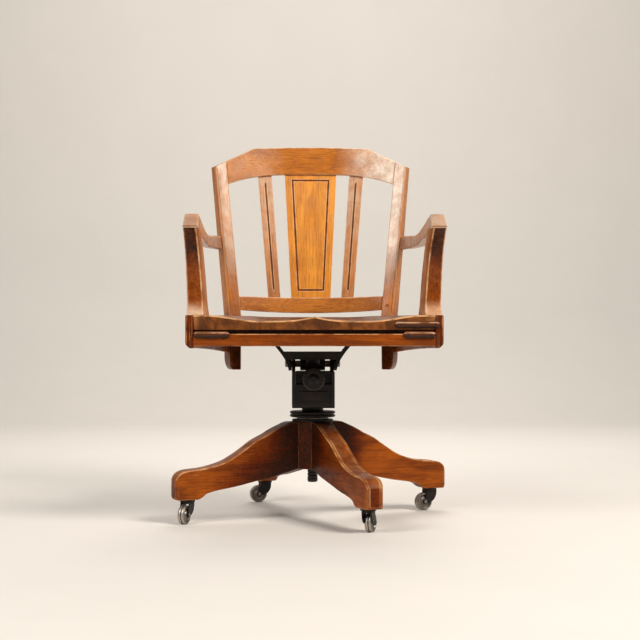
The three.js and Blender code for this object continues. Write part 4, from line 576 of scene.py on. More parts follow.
def metal(name, base, bloom, metallic, rough, sheen):
    """Old metal: patches of bloom over the ground colour, cast grain and small pits in the bump."""
    if name in bpy.data.materials:
        return bpy.data.materials[name]
    n = Nodes(name)
    spot = n.spot()
    patch, pits = n.patches(spot, *BLOOM), n.patches(spot, *PITS)
    ground = n.blend(patch, base, bloom)
    ground = n.blend(n.times(pits, PIT_SHARE), ground, scaled(base, 0.35))
    bright = tuple(min(1.0, 2.6 * v + 0.05) for v in base)
    ground = n.blend(n.times(n.kept("wear"), BRIGHT_SHARE), ground, bright)
    ground = n.blend(n.times(n.kept("tone"), DIRT_SHARE), ground, METAL_DIRT)
    height = n.math("SUBTRACT", n.times(n.noise(spot, *CAST_GRAIN), 0.5), pits)
    return n.finish(
        base_color=ground,
        metallic=metallic,
        roughness=n.between(patch, 0, 1, rough, rough + BLOOM_ROUGH),
        specular_ior_level=sheen,
        normal=n.bump(height, *METAL_BUMP),
    )


FRAME_TINTS = ("oak", "oak_warm", "oak_dark", "worn")
SPLAT_TINTS = ("splat", "splat_warm", "splat_dark", "worn")
SEAT_TINTS = ("seat", "seat_warm", "seat_dark", "worn_base")
BASE_TINTS = ("base", "base_warm", "base_dark", "worn_base")
REED_TINTS = ("reed", "seat", "grime", "worn")


def iron():
    return metal("lacquered_iron", tint("iron"), tint("rust"), metallic=0.1, rough=0.42, sheen=0.3)


def steel():
    return metal("worn_steel", tint("steel"), STEEL_BLOOM, metallic=0.85, rough=0.42, sheen=0.5)


# Shapes of the back, with x to the side, b into the depth and z above the seat rim


def seat_point(x, y, z):
    return np.stack(np.broadcast_arrays(x, y, RIM_Z + z), -1)


def back_front_y(s, z):
    return s.stile_y + z * math.tan(s.back_lean)


def stile_depth(s, z):
    below = lerp(s.stile_depth, s.stile_depth_foot, np.clip(-z / s.stile_drop, 0, 1))
    above = lerp(s.stile_depth, s.stile_depth_top, np.clip(z / s.crest, 0, 1))
    return np.where(z < 0, below, above)


def stile_point(s, a, b, z):
    """A point of the right stile: a across its face from the middle outwards, b into its depth."""
    c, n = math.cos(s.stile_turn), math.sin(s.stile_turn)
    centre = s.stile_x + np.maximum(z, 0) * math.tan(s.stile_splay)
    return centre + a * c + b * n, back_front_y(s, z) - a * n + b * c


def inner_half(s, z, b):
    """Half the clear width between the stiles, b behind their faces."""
    return stile_point(s, -s.stile_width / 2, b, z)[0] - s.fit / math.cos(s.stile_turn)


def rail_point(s, share, b, z):
    """A point of a rail between the stiles: the rail bows back by the bow times 1 - share squared."""
    bow = inner_half(s, 0, 0) * math.tan(s.stile_turn) / 2
    lead = s.stile_width / 2 * math.sin(s.stile_turn) + b * math.cos(s.stile_turn)
    y = back_front_y(s, z) + lead + bow * (1 - share * share)
    return seat_point(share * inner_half(s, z, b), y, z)


SHOULDER_SHARE = 0.665
UNDERSIDE_POWER = 3.2


def top_edge(s, share):
    """The crest falls by a parabola to the shoulder's corner, then straight to the stile."""
    out = np.abs(share)
    crown = s.crest - s.crest_drop * (out / SHOULDER_SHARE) ** 2
    slope = s.crest - lerp(s.crest_drop, s.shoulder_drop, (out - SHOULDER_SHARE) / (1 - SHOULDER_SHARE))
    return np.where(out < SHOULDER_SHARE, crown, slope)


def top_rail_underside(s, share):
    return s.crest - s.top_rail_height - s.underside_drop * np.abs(share) ** UNDERSIDE_POWER


def lower_rail_top(s, share):
    return s.lower_rail_base + s.lower_rail_height - s.lower_rail_dip * (1 - share * share)


def lower_rail_base(s, share):
    return s.lower_rail_base - s.lower_rail_base_dip * (1 - share * share)


RAIL_WEAR = (0.8, 0.4, 0.6, 1.0)
RAIL_EASE = CRISP * 3
RAIL_SHEEN_RISE = (0.25, 0.8)  # shares of the way out to a stile


def back_rail(s, node, top, underside, thick, steps, finish, haze_and_sheen=0.0):
    """A rail of the back: an eased rectangle carried from stile to stile between two edge curves."""
    span = 2 * float(inner_half(s, s.crest / 2, 0))
    place = end_stations(span, RAIL_EASE, steps)
    share = 2 * place / span - 1
    inset = end_inset(place, span, RAIL_EASE)
    low, high = underside(s, share) + inset, top(s, share) - inset
    corners = rectangle(s.rail_set + inset, s.rail_set + thick - inset, low, high)
    outline = eased(corners, s.wood_edge)
    rings = rail_point(s, share[:, None], outline[..., 0], outline[..., 1])
    # the film is a painted sheen at the rail's ends, stronger towards the right end as a painted reflection
    film = haze_and_sheen * (smooth(np.abs(share), *RAIL_SHEEN_RISE) * lerp(0.08, 1, (share + 1) / 2))[:, None]
    fine(node, rings, finish, corner_weights(RAIL_WEAR), film=film)


# Operators


class PieceOperator:
    """What the operators share: a button in the sidebar, and undo."""

    bl_options = {"REGISTER", "UNDO"}

    def execute(self, context):
        self.build(context.scene.chair_sizes)
        return {"FINISHED"}


LEG_TOP_SHARES = (
    (0.13, 1), (0.176, 0.998), (0.244, 0.95), (0.304, 0.895), (0.352, 0.84), (0.443, 0.75), (0.5, 0.67),
    (0.582, 0.563), (0.66, 0.484), (0.756, 0.43), (0.83, 0.406), (0.909, 0.392), (0.955, 0.37),
    (0.984, 0.325), (1, 0.27),
)
LEG_UNDER_SHARES = (
    (0.13, 0.361), (0.304, 0.268), (0.449, 0.208), (0.58, 0.153), (0.739, 0.1), (0.79, 0.07),
    (0.822, 0.02), (0.852, 0), (0.985, 0), (1, 0.03),
)
LEG_STATIONS = 84
CORNER_SHARES = (0.25, 0.5, 0.75, 1)  # stations over the chamfer at the end
FACE_INSET = 0.05  # how far the rings of an end face draw in above and below
FACE_EDGE = 0.6  # edges of the end face, as a share of those along the leg
FACE_STEPS = (0.0005, 0.0010)  # the first rings that draw in on the end face
FACE_WEAR = (0.9, 0.2, 0.1, 0.0, 0.1, 0.1, 0.9, 0.3, 0.9, 0.0)
FACE_TONE = (0.0, 0.0, 0.1, 0.8, 0.1, 0.1, 0.0, 0.3, 0.0, 0.42)
LINE_HOLD = 0.7  # how far the lines keep their place where the end narrows
# the lips of the incised lines are pale as wear and as painted highlights
LINES_WEAR_AND_HIGHLIGHT = (0.35, 0, 0.6, 0.6, 0, 0.12)  # at the corners of two lines, from the edge inwards
LINES_TONE = (0, 1, 0, 0, 1, 0.25)
CORNER_WEAR = 0.12
# the legs darken towards the hub, and their wear fades there
HUB_DARKENING, HUB_DARKENING_SHARES = 0.85, (0.2, 0.42)


def leg_rings(s):
    """A leg along +X: an eased section between the top and underside curves, two lines incised near each
    long edge of its top, and the lines carried on down the end face by rings that draw in on it."""
    half = s.leg_thick / 2
    lines = (s.leg_line_set, s.leg_line_set + s.leg_line_pitch)
    body_end = s.leg_reach - s.leg_chamfer
    body = np.linspace(s.hub_corner / math.sqrt(2) + half + s.fit, body_end, LEG_STATIONS)
    corner = np.array(CORNER_SHARES) * s.leg_chamfer
    # on the end face the rings draw in: past both sides of each line, up to the middle of the band
    steps, depths = list(FACE_STEPS), [0.0] * len(FACE_STEPS)
    for line in lines:
        place = line - s.leg_chamfer * LINE_HOLD
        steps += [place + k * s.line_half for k in (-1, 0, 1, 2)]
        depths += [0.0, s.line_depth, 0.0, 0.0]
    before_face = len(body) + len(corner)
    x = np.concatenate([body, body_end + corner, np.full(len(steps), s.leg_reach)])
    chamfer = np.concatenate([0 * body, corner, np.full(len(steps), s.leg_chamfer)])
    drawn, sunk = (np.append(np.zeros(before_face), values) for values in (steps, depths))
    share = x / s.leg_reach
    low = FOOT_Z + s.leg_height * through(LEG_UNDER_SHARES, share) + drawn * FACE_INSET
    high = FOOT_Z + s.leg_height * through(LEG_TOP_SHARES, share) - drawn * FACE_INSET
    wide = half - chamfer - drawn
    on_face = drawn > 0
    outer, inner = (
        np.where(on_face, wide * (1 - line / half), half - line - chamfer * (1 - LINE_HOLD)) for line in lines
    )
    deep = np.where(on_face, CRISP / 4, s.line_depth)
    thin = np.where(on_face, s.line_half / 3, s.line_half)
    corners = [(-wide, low), (wide, low), (wide, high)]
    for y in (outer, inner, -inner, -outer):
        corners += [(y + thin, high), (y, high - deep), (y - thin, high)]
    radii = np.array([s.wood_edge, s.wood_edge, s.leg_edge, *[CRISP] * 12, s.leg_edge])
    radii = radii * np.where(on_face, FACE_EDGE, 1.0)[:, None]
    outline = eased(joined([*corners, (-wide, high)]), radii)
    y, z = outline[..., 0], outline[..., 1]
    rings = np.stack([np.broadcast_to((x - sunk)[:, None], y.shape), y, z], -1)
    flats = corner_values([0, 0, 0, *LINES_WEAR_AND_HIGHLIGHT, *LINES_WEAR_AND_HIGHLIGHT[::-1], 0])
    worn = np.maximum(corner_weights([0.5, 0.5, 1, *[1, 0, 1] * 4, 1]), flats)
    wear = np.broadcast_to(worn, y.shape).copy()
    wear[on_face] = np.array(FACE_WEAR)[:, None]
    turned_in = slice(len(body) - 1, before_face)
    wear[turned_in] = np.maximum(wear[turned_in], CORNER_WEAR)
    near_hub = HUB_DARKENING * (1 - smooth(share, *HUB_DARKENING_SHARES))[:, None]
    tone = np.maximum(corner_values([0.1, 0.1, 0, *LINES_TONE, *LINES_TONE[::-1], 0]), near_hub)
    tone[on_face] = np.array(FACE_TONE)[:, None]
    return rings, wear * (1 - near_hub), tone


LEG_SHADES = (0.62, 0.15, 0.7, 0.95)  # how dark each leg is at the hub, in the order of LEG_NAMES
SHADE_DEPTH = (0.002, 0.007)  # below the top face
SHADE_FADE = (0.3, 0.95)


class CHAIR_OT_legs(PieceOperator, bpy.types.Operator):
    """Four curved legs with incised lines"""

    bl_idname = "chair.legs"
    bl_label = "Legs"

    def build(self, s):
        rings, wear, tone = leg_rings(s)
        below_top = smooth(rings[..., 2].max(1, keepdims=True) - rings[..., 2], *SHADE_DEPTH)
        fade = 1 - smooth(rings[..., 0] / s.leg_reach, *SHADE_FADE)
        for k, word in enumerate(LEG_NAMES):
            turn = s.base_yaw + (k - 1) * math.pi / 2
            run = (math.cos(turn), math.sin(turn), 0)
            finish = oak(f"oak_leg_{word}", run, BASE_TINTS, k + 1, coat=0.0, grime=0.4, sheen=0.12)
            shade = LEG_SHADES[k] * below_top * fade
            fine(f"leg_{word}", yawed(rings, turn), finish, wear * (1 - shade), np.maximum(tone, shade))


HUB_EASE = 0.002  # height of the eased rim
HUB_DRAW = 0.04  # how far the rim draws in, as a share
HUB_SHADE = 0.8


class CHAIR_OT_hub(PieceOperator, bpy.types.Operator):
    """Eight-sided hub block"""

    bl_idname = "chair.hub"
    bl_label = "Hub block"

    def build(self, s):
        """The wall goes from the eased octagon up, in to the bore and down again."""
        half = s.leg_thick / 2
        far = s.hub_corner / math.sqrt(2) + half
        octagon = [(far, -half), (far, half), (half, far), (-half, far), (-far, half), (-far, -half)]
        octagon += [(-half, -far), (half, -far)]
        wall = eased(octagon, s.wood_edge / 2)
        turn = np.arctan2(wall[:, 1], wall[:, 0])
        bore = np.stack([np.cos(turn), np.sin(turn)], -1) * (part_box("hub_bushing")[1].x + s.fit)
        drawn = wall * (1 - HUB_DRAW)
        rows = [(drawn, HUB_LOW_Z), (wall, HUB_LOW_Z + HUB_EASE), (wall, HUB_TOP_Z - HUB_EASE)]
        rows += [(drawn, HUB_TOP_Z), (bore, HUB_TOP_Z), (bore, HUB_LOW_Z)]
        rings = np.stack([np.column_stack([flat, np.full(len(flat), z)]) for flat, z in rows])
        wear = np.zeros(rings.shape[:2])
        wear[:4] = corner_weights([0.6] * 8)
        wear[0], wear[3] = 0.7, 0.5
        finish = oak("oak_hub", (0, 0, 1), BASE_TINTS, 7, coat=0.0, sheen=0.12)
        fine("hub_block", yawed(rings, s.base_yaw), finish, 0.5 * wear, HUB_SHADE, around=True)


WHEEL_BORE, WHEEL_BOSS = 0.0034, 0.008  # radii
WEB_RADII, RIM_RADII = (0.0105, 0.0155), (0.0172, 0.0205)
TREAD_CORNER = 0.003
GROOVE_HALVES = (0.0013, 0.0006)  # half the width of the tread's groove at its mouth and floor
GROOVE_DIRT = (0.018, 0.0011)  # dirt lies outside this radius and within this half width
TREAD_WEAR = (0.0006, 0.002)  # wear lies this close to the tread, and this far from its edges


class CHAIR_OT_casters(PieceOperator, bpy.types.Operator):
    """Caster wheels with a grooved tread"""

    bl_idname = "chair.casters"
    bl_label = "Casters"

    wheel_half: length("Wheel half width", "Half the width of a wheel", 0.008)
    web_half: length("Web half width", "Half the thickness of the wheel's web", 0.004)
    groove: length("Tread groove", "Depth of the groove round the tread", 0.0012)

    def build(self, s):
        w, web = self.wheel_half, self.web_half
        joints = {joint["name"]: joint for joint in frame["joints"]}
        for word in LEG_NAMES:
            low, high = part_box(f"caster_wheel_{word}")
            radius = (high.z - low.z) / 2
            mouth, floor = GROOVE_HALVES
            half = [
                (WHEEL_BORE, -w), (WHEEL_BOSS, -w), (WEB_RADII[0], -web), (WEB_RADII[1], -web),
                (RIM_RADII[0], -w), (RIM_RADII[1], -w), (radius, -w + TREAD_CORNER), (radius, -mouth),
                (radius - self.groove, -floor),
            ]
            outline = eased(half + [(r, -h) for r, h in reversed(half)], 0.001)
            r, h = outline[:, :1], outline[:, 1:]
            axis = joints[f"wheel_spin_{word}"]["axis"]
            flat = circled(r, h, bearings(64))[..., ALONG_X]
            rings = yawed(flat, math.atan2(axis[1], axis[0]), tuple((low + high) / 2))
            on_tread = (r > radius - TREAD_WEAR[0]) & (np.abs(h) < w - TREAD_WEAR[1])
            in_groove = (r > GROOVE_DIRT[0]) & (np.abs(h) < GROOVE_DIRT[1])
            wear, tone = np.where(on_tread, 0.8, 0.0), np.where(in_groove, 1.0, 0.0)
            fine(f"caster_wheel_{word}", rings, steel(), wear, tone, around=True)


BORE = 0.0126  # radius of the bores of flange, washer and nut
NUT_LIP, NUT_EDGE = 0.003, 0.0009
NOTCHES, NOTCH_DEPTH, NOTCH_SPAN = 28, 0.0007, (0.6, 1.0)
THREAD_RISE, THREAD_FALL = (0.5, 0.62), (0.88, 1.0)  # where in its pitch the groove sets in and ends
THREAD_FADE = (0.008, 0.012)  # heights over the spindle's end between which the thread sets in
SPINDLE_TAPER = (0.0022, 0.003)  # how far the ends draw in, and over what length


class CHAIR_OT_lift(PieceOperator, bpy.types.Operator):
    """Flange, washer, grooved nut and threaded spindle"""

    bl_idname = "chair.lift"
    bl_label = "Screw lift"

    thread_pitch: length("Thread pitch", "Pitch of the lift's square thread", 0.008)
    thread_depth: length("Thread depth", "Depth of the lift's thread", 0.0011)

    def collars(self):
        for node, finish in (("base_flange", iron()), ("thrust_washer", steel())):
            low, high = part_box(node)
            outline = eased(rectangle(BORE, max(high.x, -low.x), low.z, high.z), 0.001)
            fine(node, circled(outline[:, :1], outline[:, 1:], bearings(96)), finish, around=True)

    def nut(self):
        """Two rims with a waist between them; each notch dips where the cosine of the notches is high."""
        low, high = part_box("height_nut")
        third, slope = (high.z - low.z) / 3, NUT_LIP / 2
        radius = max(high.x, -low.x)
        waist = radius - NUT_LIP
        profile = [
            (BORE, low.z), (waist, low.z), (radius, low.z + slope), (radius, low.z + third),
            (waist, low.z + third + slope), (waist, high.z - third - slope), (radius, high.z - third),
            (radius, high.z - slope), (waist, high.z), (BORE, high.z),
        ]
        outline = eased(profile, NUT_EDGE)
        r, z, turn = outline[:, :1], outline[:, 1:], bearings(336)
        rim = smooth(r, waist, radius - NUT_LIP / 4)
        notched = r - NOTCH_DEPTH * rim * smooth(np.cos(NOTCHES * turn), *NOTCH_SPAN)
        fine("height_nut", circled(notched, z, turn), iron(), around=True)

    def spindle(self):
        """A bar whose square thread is a groove in each pitch of height less turn."""
        low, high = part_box("screw_spindle")
        turn = bearings(48)
        z = np.linspace(low.z, high.z, 320)[:, None]
        phase = (z / self.thread_pitch - turn / FULL_TURN) % 1
        groove = smooth(phase, *THREAD_RISE) * (1 - smooth(phase, *THREAD_FALL))
        drawn, over = SPINDLE_TAPER
        taper = drawn * (1 - smooth(np.minimum(z - low.z, high.z - z), 0, over))
        fade = smooth(z, *(low.z + v for v in THREAD_FADE))
        r = max(high.x, -low.x) - self.thread_depth * groove * fade - taper
        fine("screw_spindle", circled(r, z, turn), iron(), 0.5 * (1 - groove), 0.6 * groove * fade)

    def build(self, s):
        self.collars()
        self.nut()
        self.spindle()


KNOB_RADIUS, KNOB_BOSS, KNOB_NOSE_SHARE = 0.0267, 0.013, 0.62
KNOB_RIM, KNOB_RIM_SET = 0.012, 0.005  # length of the rim, and its distance from the rear
KNOB_CHAMFER = (0.0045, 0.002)  # across and along the rim's edges
KNOB_EDGE = 0.0016
FLUTE_DEPTH, FLUTE_BAND, FLUTE_SPAN = 0.0013, (0.009, 0.002), (0.2, 1.0)
SCREW_GROOVE = 0.0006
SCREW_TAPER = (0.0015, 0.002)  # how far the ends draw in, and over what length


class CHAIR_OT_tension(PieceOperator, bpy.types.Operator):
    """Fluted tension knob, its screw and the coil spring"""

    bl_idname = "chair.tension"
    bl_label = "Tension knob and spring"

    flutes: bpy.props.IntProperty(name="Flutes", description="Grips round the knob", default=16, min=3)
    wire: length("Spring wire", "Radius of the spring's wire", 0.0025)
    coil: length("Spring radius", "Mean radius of the spring", 0.0145)
    turns: bpy.props.IntProperty(name="Spring turns", description="Turns of the spring", default=8, min=2)
    pitch: length("Screw pitch", "Pitch of the tension screw", 0.002)

    def knob(self):
        """A rim with a boss on both sides; each grip dips where the cosine of the flutes is high."""
        low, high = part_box("tension_knob")
        rim_rear = high.y - KNOB_RIM_SET
        rim_front = rim_rear - KNOB_RIM
        across, along = KNOB_CHAMFER
        land = KNOB_RADIUS - across
        profile = [
            (0.0001, low.y), (KNOB_BOSS * KNOB_NOSE_SHARE, low.y), (KNOB_BOSS, rim_front), (land, rim_front),
            (KNOB_RADIUS, rim_front + along), (KNOB_RADIUS, rim_rear - along), (land, rim_rear),
            (KNOB_BOSS, high.y), (0.0001, high.y),
        ]
        outline = eased(profile, KNOB_EDGE)[EDGE_STEPS // 2 : -EDGE_STEPS // 2]
        r, y, turn = outline[:, :1], outline[:, 1:], bearings(192)
        rim = smooth(r, *(KNOB_RADIUS - v for v in FLUTE_BAND))
        fluted = r - FLUTE_DEPTH * rim * smooth(np.cos(self.flutes * turn), *FLUTE_SPAN)
        wear = 0.7 * smooth(r, KNOB_RADIUS - 0.004, KNOB_RADIUS)
        fine("tension_knob", self.on_screw(fluted, y, turn), iron(), wear)

    def on_screw(self, radius, y, turn):
        return circled(radius, y, turn)[..., ALONG_Y] + np.array([0, 0, SCREW_Z])

    def screw(self):
        low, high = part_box("tension_screw")
        turn = bearings(24)
        y = np.linspace(low.y, high.y, 300)[:, None]
        groove = 0.5 + 0.5 * np.cos(FULL_TURN * (y / self.pitch + turn / FULL_TURN))
        drawn, over = SCREW_TAPER
        taper = drawn * (1 - smooth(np.minimum(y - low.y, high.y - y), 0, over))
        r = (high.z - low.z) / 2 - SCREW_GROOVE * groove - taper
        fine("tension_screw", self.on_screw(r, y, turn), steel(), tone=0.4 * groove)

    def spring(self):
        """A tube of circles square to a helix about the screw.

        The front half is attached to the spring's body, and the rear half stays where it is made.
        """
        low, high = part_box("tension_spring")
        t = np.linspace(0, 1, self.turns * 32 + 1)
        y = lerp(low.y + self.wire, high.y - self.wire, t)
        turn = t * self.turns * FULL_TURN
        out = np.stack([np.cos(turn), np.zeros_like(turn), np.sin(turn)], -1)
        path = self.coil * out + np.stack([0 * y, y, 0 * y + SCREW_Z], -1)
        ahead = np.gradient(path, axis=0)
        ahead /= np.linalg.norm(ahead, axis=1, keepdims=True)
        across = np.cross(ahead, out)
        around = bearings(12)[:, None]
        circle = np.cos(around) * out[:, None, :] + np.sin(around) * across[:, None, :]
        rings = path[:, None, :] + self.wire * circle
        cut = len(path) // 2
        front = dress(loft("fine_spring_front", rings[: cut + 1]), "tension_spring", iron())
        rear = stand_in(loft("fine_spring_rear", rings[cut:]), "tension_spring", iron())
        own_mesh(front)
        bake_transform(rear)

    def build(self, s):
        self.knob()
        self.screw()
        self.spring()


STILE_STATIONS, STILE_EASE = 130, 0.0015
LINE_START, LINE_END = (0.004, 0.03), (0.38, 0.39)  # heights over which a stile's line sets in and ends
# the inner front edge is pale as a painted highlight; the other edges as wear
STILE_WEAR_AND_HIGHLIGHT = (0.9, 0.2, 0, 0.3, 0.4, 0.5, 0.5, 0)
STILE_LINE_TONE = (0, 0, 1, 0, 0, 0, 0, 0)
FOOT_SHADE = ((0.2, (-0.01, 0.05)), (0.5, (-0.06, -0.02)))  # shares, and the heights over which they fade
STILE_SHEEN_FILM, SHEEN_FILM_HEIGHTS, SHEEN_FILM_DEPTHS = 0.86, (0.04, 0.22), (0.0015, 0.005)
STRIP_CLEAR, STRIP_FADE = 0.85, 0.002  # the strip outside the line has less film


class CHAIR_OT_stiles(PieceOperator, bpy.types.Operator):
    """Two back stiles with an incised line"""

    bl_idname = "chair.stiles"
    bl_label = "Back stiles"

    def build(self, s):
        """A grooved section carried up a leaning, splayed line; the top is cut along the shoulder."""
        half, edge = s.stile_width / 2, s.wood_edge
        slope = (s.shoulder_drop - s.crest_drop) / ((1 - SHOULDER_SHARE) * inner_half(s, s.crest, 0))
        span = s.crest - s.shoulder_drop + s.stile_drop
        place = end_stations(span, STILE_EASE, STILE_STATIONS)
        inset = end_inset(place, span, STILE_EASE)
        level = place - s.stile_drop
        foot = np.clip(place / s.stile_round, 0, 1)
        round_in = s.stile_round_in * (1 - np.sqrt(1 - (1 - foot) ** 2))
        depth = stile_depth(s, level) - round_in - inset
        high, low = half - round_in - inset, -half + inset
        line = half - s.stile_line_set - round_in
        deep = s.line_depth * smooth(level, *LINE_START) * (1 - smooth(level, *LINE_END)) + CRISP / 4
        corners = [
            (low, inset), (line - s.line_half, inset), (line, inset + deep), (line + s.line_half, inset),
            (high, inset), (high, depth), (low, depth), (low, (inset + depth) / 2),
        ]
        outline = eased(joined(corners), [edge, CRISP, CRISP, CRISP, edge, edge, edge, CRISP])
        a, b = outline[..., 0], outline[..., 1]
        level, line = level[:, None], line[:, None]
        top_z = s.crest - s.shoulder_drop - slope * (a + half) * math.cos(s.stile_turn)
        z = -s.stile_drop + (top_z + s.stile_drop) * (place / span)[:, None]
        x, y = stile_point(s, a, b, z)
        # below the seat the foot darkens: painted shade under the seat rail
        dirt = sum(share * (1 - smooth(level, *fade)) for share, fade in FOOT_SHADE)
        tone = np.maximum(corner_values(STILE_LINE_TONE) * smooth(level, 0.0, LINE_START[1]), dirt)
        # the film on the front face is a hazy finish with a painted sheen, less on the strip outside the line
        outer_strip = smooth(a, line, line + STRIP_FADE)
        front = (1 - smooth(b, *SHEEN_FILM_DEPTHS)) * (1 - STRIP_CLEAR * outer_strip)
        film = front * smooth(level, *SHEEN_FILM_HEIGHTS) * STILE_SHEEN_FILM
        for side, word in SIDES:
            # the right stile's film is laid in the painted reflection colour
            haze_and_sheen, run = "painted_reflection" if side > 0 else "film", (0.09 * side, 0.16, 1)
            finish = oak(f"oak_stile_{word}", run, FRAME_TINTS, 11 + side, gloss=0.3, coat=0.15, haze_and_sheen=haze_and_sheen)
            rings = seat_point(side * x, y, z)
            fine(f"back_stile_{word}", rings, finish, corner_weights(STILE_WEAR_AND_HIGHLIGHT), tone, film)


class CHAIR_OT_back_rails(PieceOperator, bpy.types.Operator):
    """Top rail with angled shoulders, and the lower back rail"""

    bl_idname = "chair.back_rails"
    bl_label = "Back rails"

    def build(self, s):
        # the top rail's ends take a painted sheen in the painted reflection colour
        looks = {"gloss": 0.3, "coat": 0.3, "grime": 0.5, "haze_and_sheen": "painted_reflection"}
        finish = oak("oak_top_rail", (1, 0, 0), FRAME_TINTS, 3, **looks)
        back_rail(s, "top_rail", top_edge, top_rail_underside, s.top_rail_thick, 180, finish, 0.95)
        finish = oak("oak_lower_rail", (1, 0, 0), FRAME_TINTS, 5)
        thick = s.lower_rail_thick
        back_rail(s, "lower_back_rail", lower_rail_top, lower_rail_base, thick, 90, finish)


def board_point(s, x, b, share):
    """A point of a board of the back: it follows the rails' bow and ends a fit short of each rail."""
    middle = lerp(s.lower_rail_base + s.lower_rail_height, s.crest - s.top_rail_height, share)
    across = x / inner_half(s, middle, b)
    z = lerp(lower_rail_top(s, across) + s.fit, top_rail_underside(s, across) - s.fit, share)
    return rail_point(s, x / inner_half(s, z, b), b, z)


GROOVE_LIP = 0.0022  # pale width beside a groove: wear, and a painted highlight where the lip catches the light
BOARD_EASE, BOARD_MARGIN = 0.0012, 0.0015  # eased side edges, and where the flat face begins
BOARD_WEAR, GROOVE_SHADE = 0.8, 0.66
BOARD_SHEEN_LOW, BOARD_SHEEN_RISE = 0.3, (0.1, 0.95)
GROOVE_ROWS = 41


def board_rise(s):
    return s.crest - s.top_rail_height - s.lower_rail_base - s.lower_rail_height


def grooved_board(s, name, low, high, columns, rows, depth, node, finish, haze_and_sheen):
    """A board whose face is a grid of columns and rows, sunk by a depth at each crossing.

    Columns are pairs: a share of the way from the low to the high edge, and an offset added to it. The back
    is plain, and the side edges are eased. The hazy finish, with its painted sheen, gathers towards the top.
    """
    share = rows[:, None]
    x_low, x_high = (lerp(edge[0], edge[1], share) for edge in (low, high))
    face = s.rail_set + (s.lower_rail_thick - s.board_thick) / 2
    shares, offsets = np.array(columns).T
    x = lerp(x_low, x_high, shares) + offsets
    across, into = BOARD_EASE * np.array([0, 0.3]), BOARD_EASE * np.array([1, 0.3])
    left_x, right_x = x_low + across, x_high - across[::-1]
    front_b = np.broadcast_to(face + into, left_x.shape)
    back_b = face + s.board_thick - (front_b - face)
    turn_x = np.concatenate([left_x, x, right_x, right_x[:, ::-1], left_x[:, ::-1]], 1)
    turn_b = np.concatenate([front_b, face + depth, front_b[:, ::-1], back_b, back_b[:, ::-1]], 1)
    rings = board_point(s, turn_x, turn_b, share)
    sunk = depth > s.groove_depth / 3
    lip = np.zeros_like(sunk)
    lip[:, 1:] |= sunk[:, :-1]
    lip[:, :-1] |= sunk[:, 1:]
    lip[1:] |= sunk[:-1]
    lip[:-1] |= sunk[1:]
    wear, tone = np.zeros(turn_x.shape), np.zeros(turn_x.shape)
    end = len(into) + x.shape[1]
    wear[:, : end + len(into)] = BOARD_WEAR
    # the lips are pale as painted highlights and wear, the groove dark as painted shade
    wear[:, len(into) : end] = np.where(lip & ~sunk, 1.0, 0.0)
    tone[:, len(into) : end] = np.where(sunk, GROOVE_SHADE, 0.0)
    # the film is a painted sheen that rises towards the top
    film = haze_and_sheen * lerp(BOARD_SHEEN_LOW, 1, smooth(share, *BOARD_SHEEN_RISE))
    dress(loft(name, rings, wear, tone, film), node, finish)


class CHAIR_OT_splat(PieceOperator, bpy.types.Operator):
    """Centre splat with an incised border"""

    bl_idname = "chair.splat"
    bl_label = "Splat"

    def build(self, s):
        rise, width = board_rise(s), s.groove_width
        slant = width * 0.12
        stops = np.array([-GROOVE_LIP, 0, slant, width - slant, width, width + GROOVE_LIP])
        into = np.array([0.0, 0.0, 1.0, 1.0, 0.0, 0.0])
        near = np.concatenate([[BOARD_MARGIN], s.splat_border + stops])
        columns = [(0, v) for v in near] + [(0.5, 0)] + [(1, -v) for v in near[::-1]]
        line_columns = np.concatenate([[0], into, [0], into, [0]])
        inside_columns = np.array([0, 0, 0, *[1] * 9, 0, 0, 0])
        foot, head = (s.splat_base + stops) / rise, 1 - (s.splat_top + stops[::-1]) / rise
        rows = np.concatenate([[0], foot, np.linspace(0.09, 0.93, GROOVE_ROWS), head, [1]])
        line_rows = np.concatenate([[0], into, np.zeros(GROOVE_ROWS), into, [0]])
        inside_rows = (rows > foot[1]) & (rows < head[-2])
        sunk = np.maximum(np.outer(inside_rows, line_columns), np.outer(line_rows, inside_columns))
        edges = [(way * s.splat_half, way * s.splat_half_top) for way in (-1, 1)]
        finish = oak("oak_splat", (0, 0.16, 1), SPLAT_TINTS, 2, gloss=0.38, grime=0.35)
        depth = sunk * s.groove_depth
        grooved_board(s, "fine_splat", *edges, columns, rows, depth, "splat_center", finish, 0.12)


class CHAIR_OT_slats(PieceOperator, bpy.types.Operator):
    """Two side slats with one groove each"""

    bl_idname = "chair.slats"
    bl_label = "Slats"

    def build(self, s):
        rise, half = board_rise(s), s.groove_width / 2
        stops = np.array([-half - GROOVE_LIP, -half, -half * 0.7, 0, half * 0.7, half, half + GROOVE_LIP])
        into = np.array([0.0, 0.0, 0.95, 1.0, 0.95, 0.0, 0.0])
        columns = [(0, BOARD_MARGIN)] + [(0.5, v) for v in stops] + [(1, -BOARD_MARGIN)]
        near = s.slat_margin / rise + np.array([0, 0.35, 1]) * s.groove_width / rise
        rows = np.concatenate([[0], near, np.linspace(0.12, 0.88, GROOVE_ROWS), 1 - near[::-1], [1]])
        run = smooth(rows, near[0], near[-1]) * (1 - smooth(rows, 1 - near[-1], 1 - near[0]))
        depth = np.outer(run, np.concatenate([[0], into, [0]]))
        for side, word in SIDES:
            inner = (side * s.slat_x, side * s.slat_x_top)
            outer = (inner[0] + side * s.slat_width, inner[1] + side * s.slat_width_top)
            low, high = (inner, outer) if side > 0 else (outer, inner)
            finish = oak(f"oak_slat_{word}", (0.08 * side, 0.16, 1), FRAME_TINTS, 8 + side)
            name, sunk = f"fine_slat_{word}", depth * s.groove_depth
            grooved_board(s, name, low, high, columns, rows, sunk, f"slat_{word}", finish, 0.8)


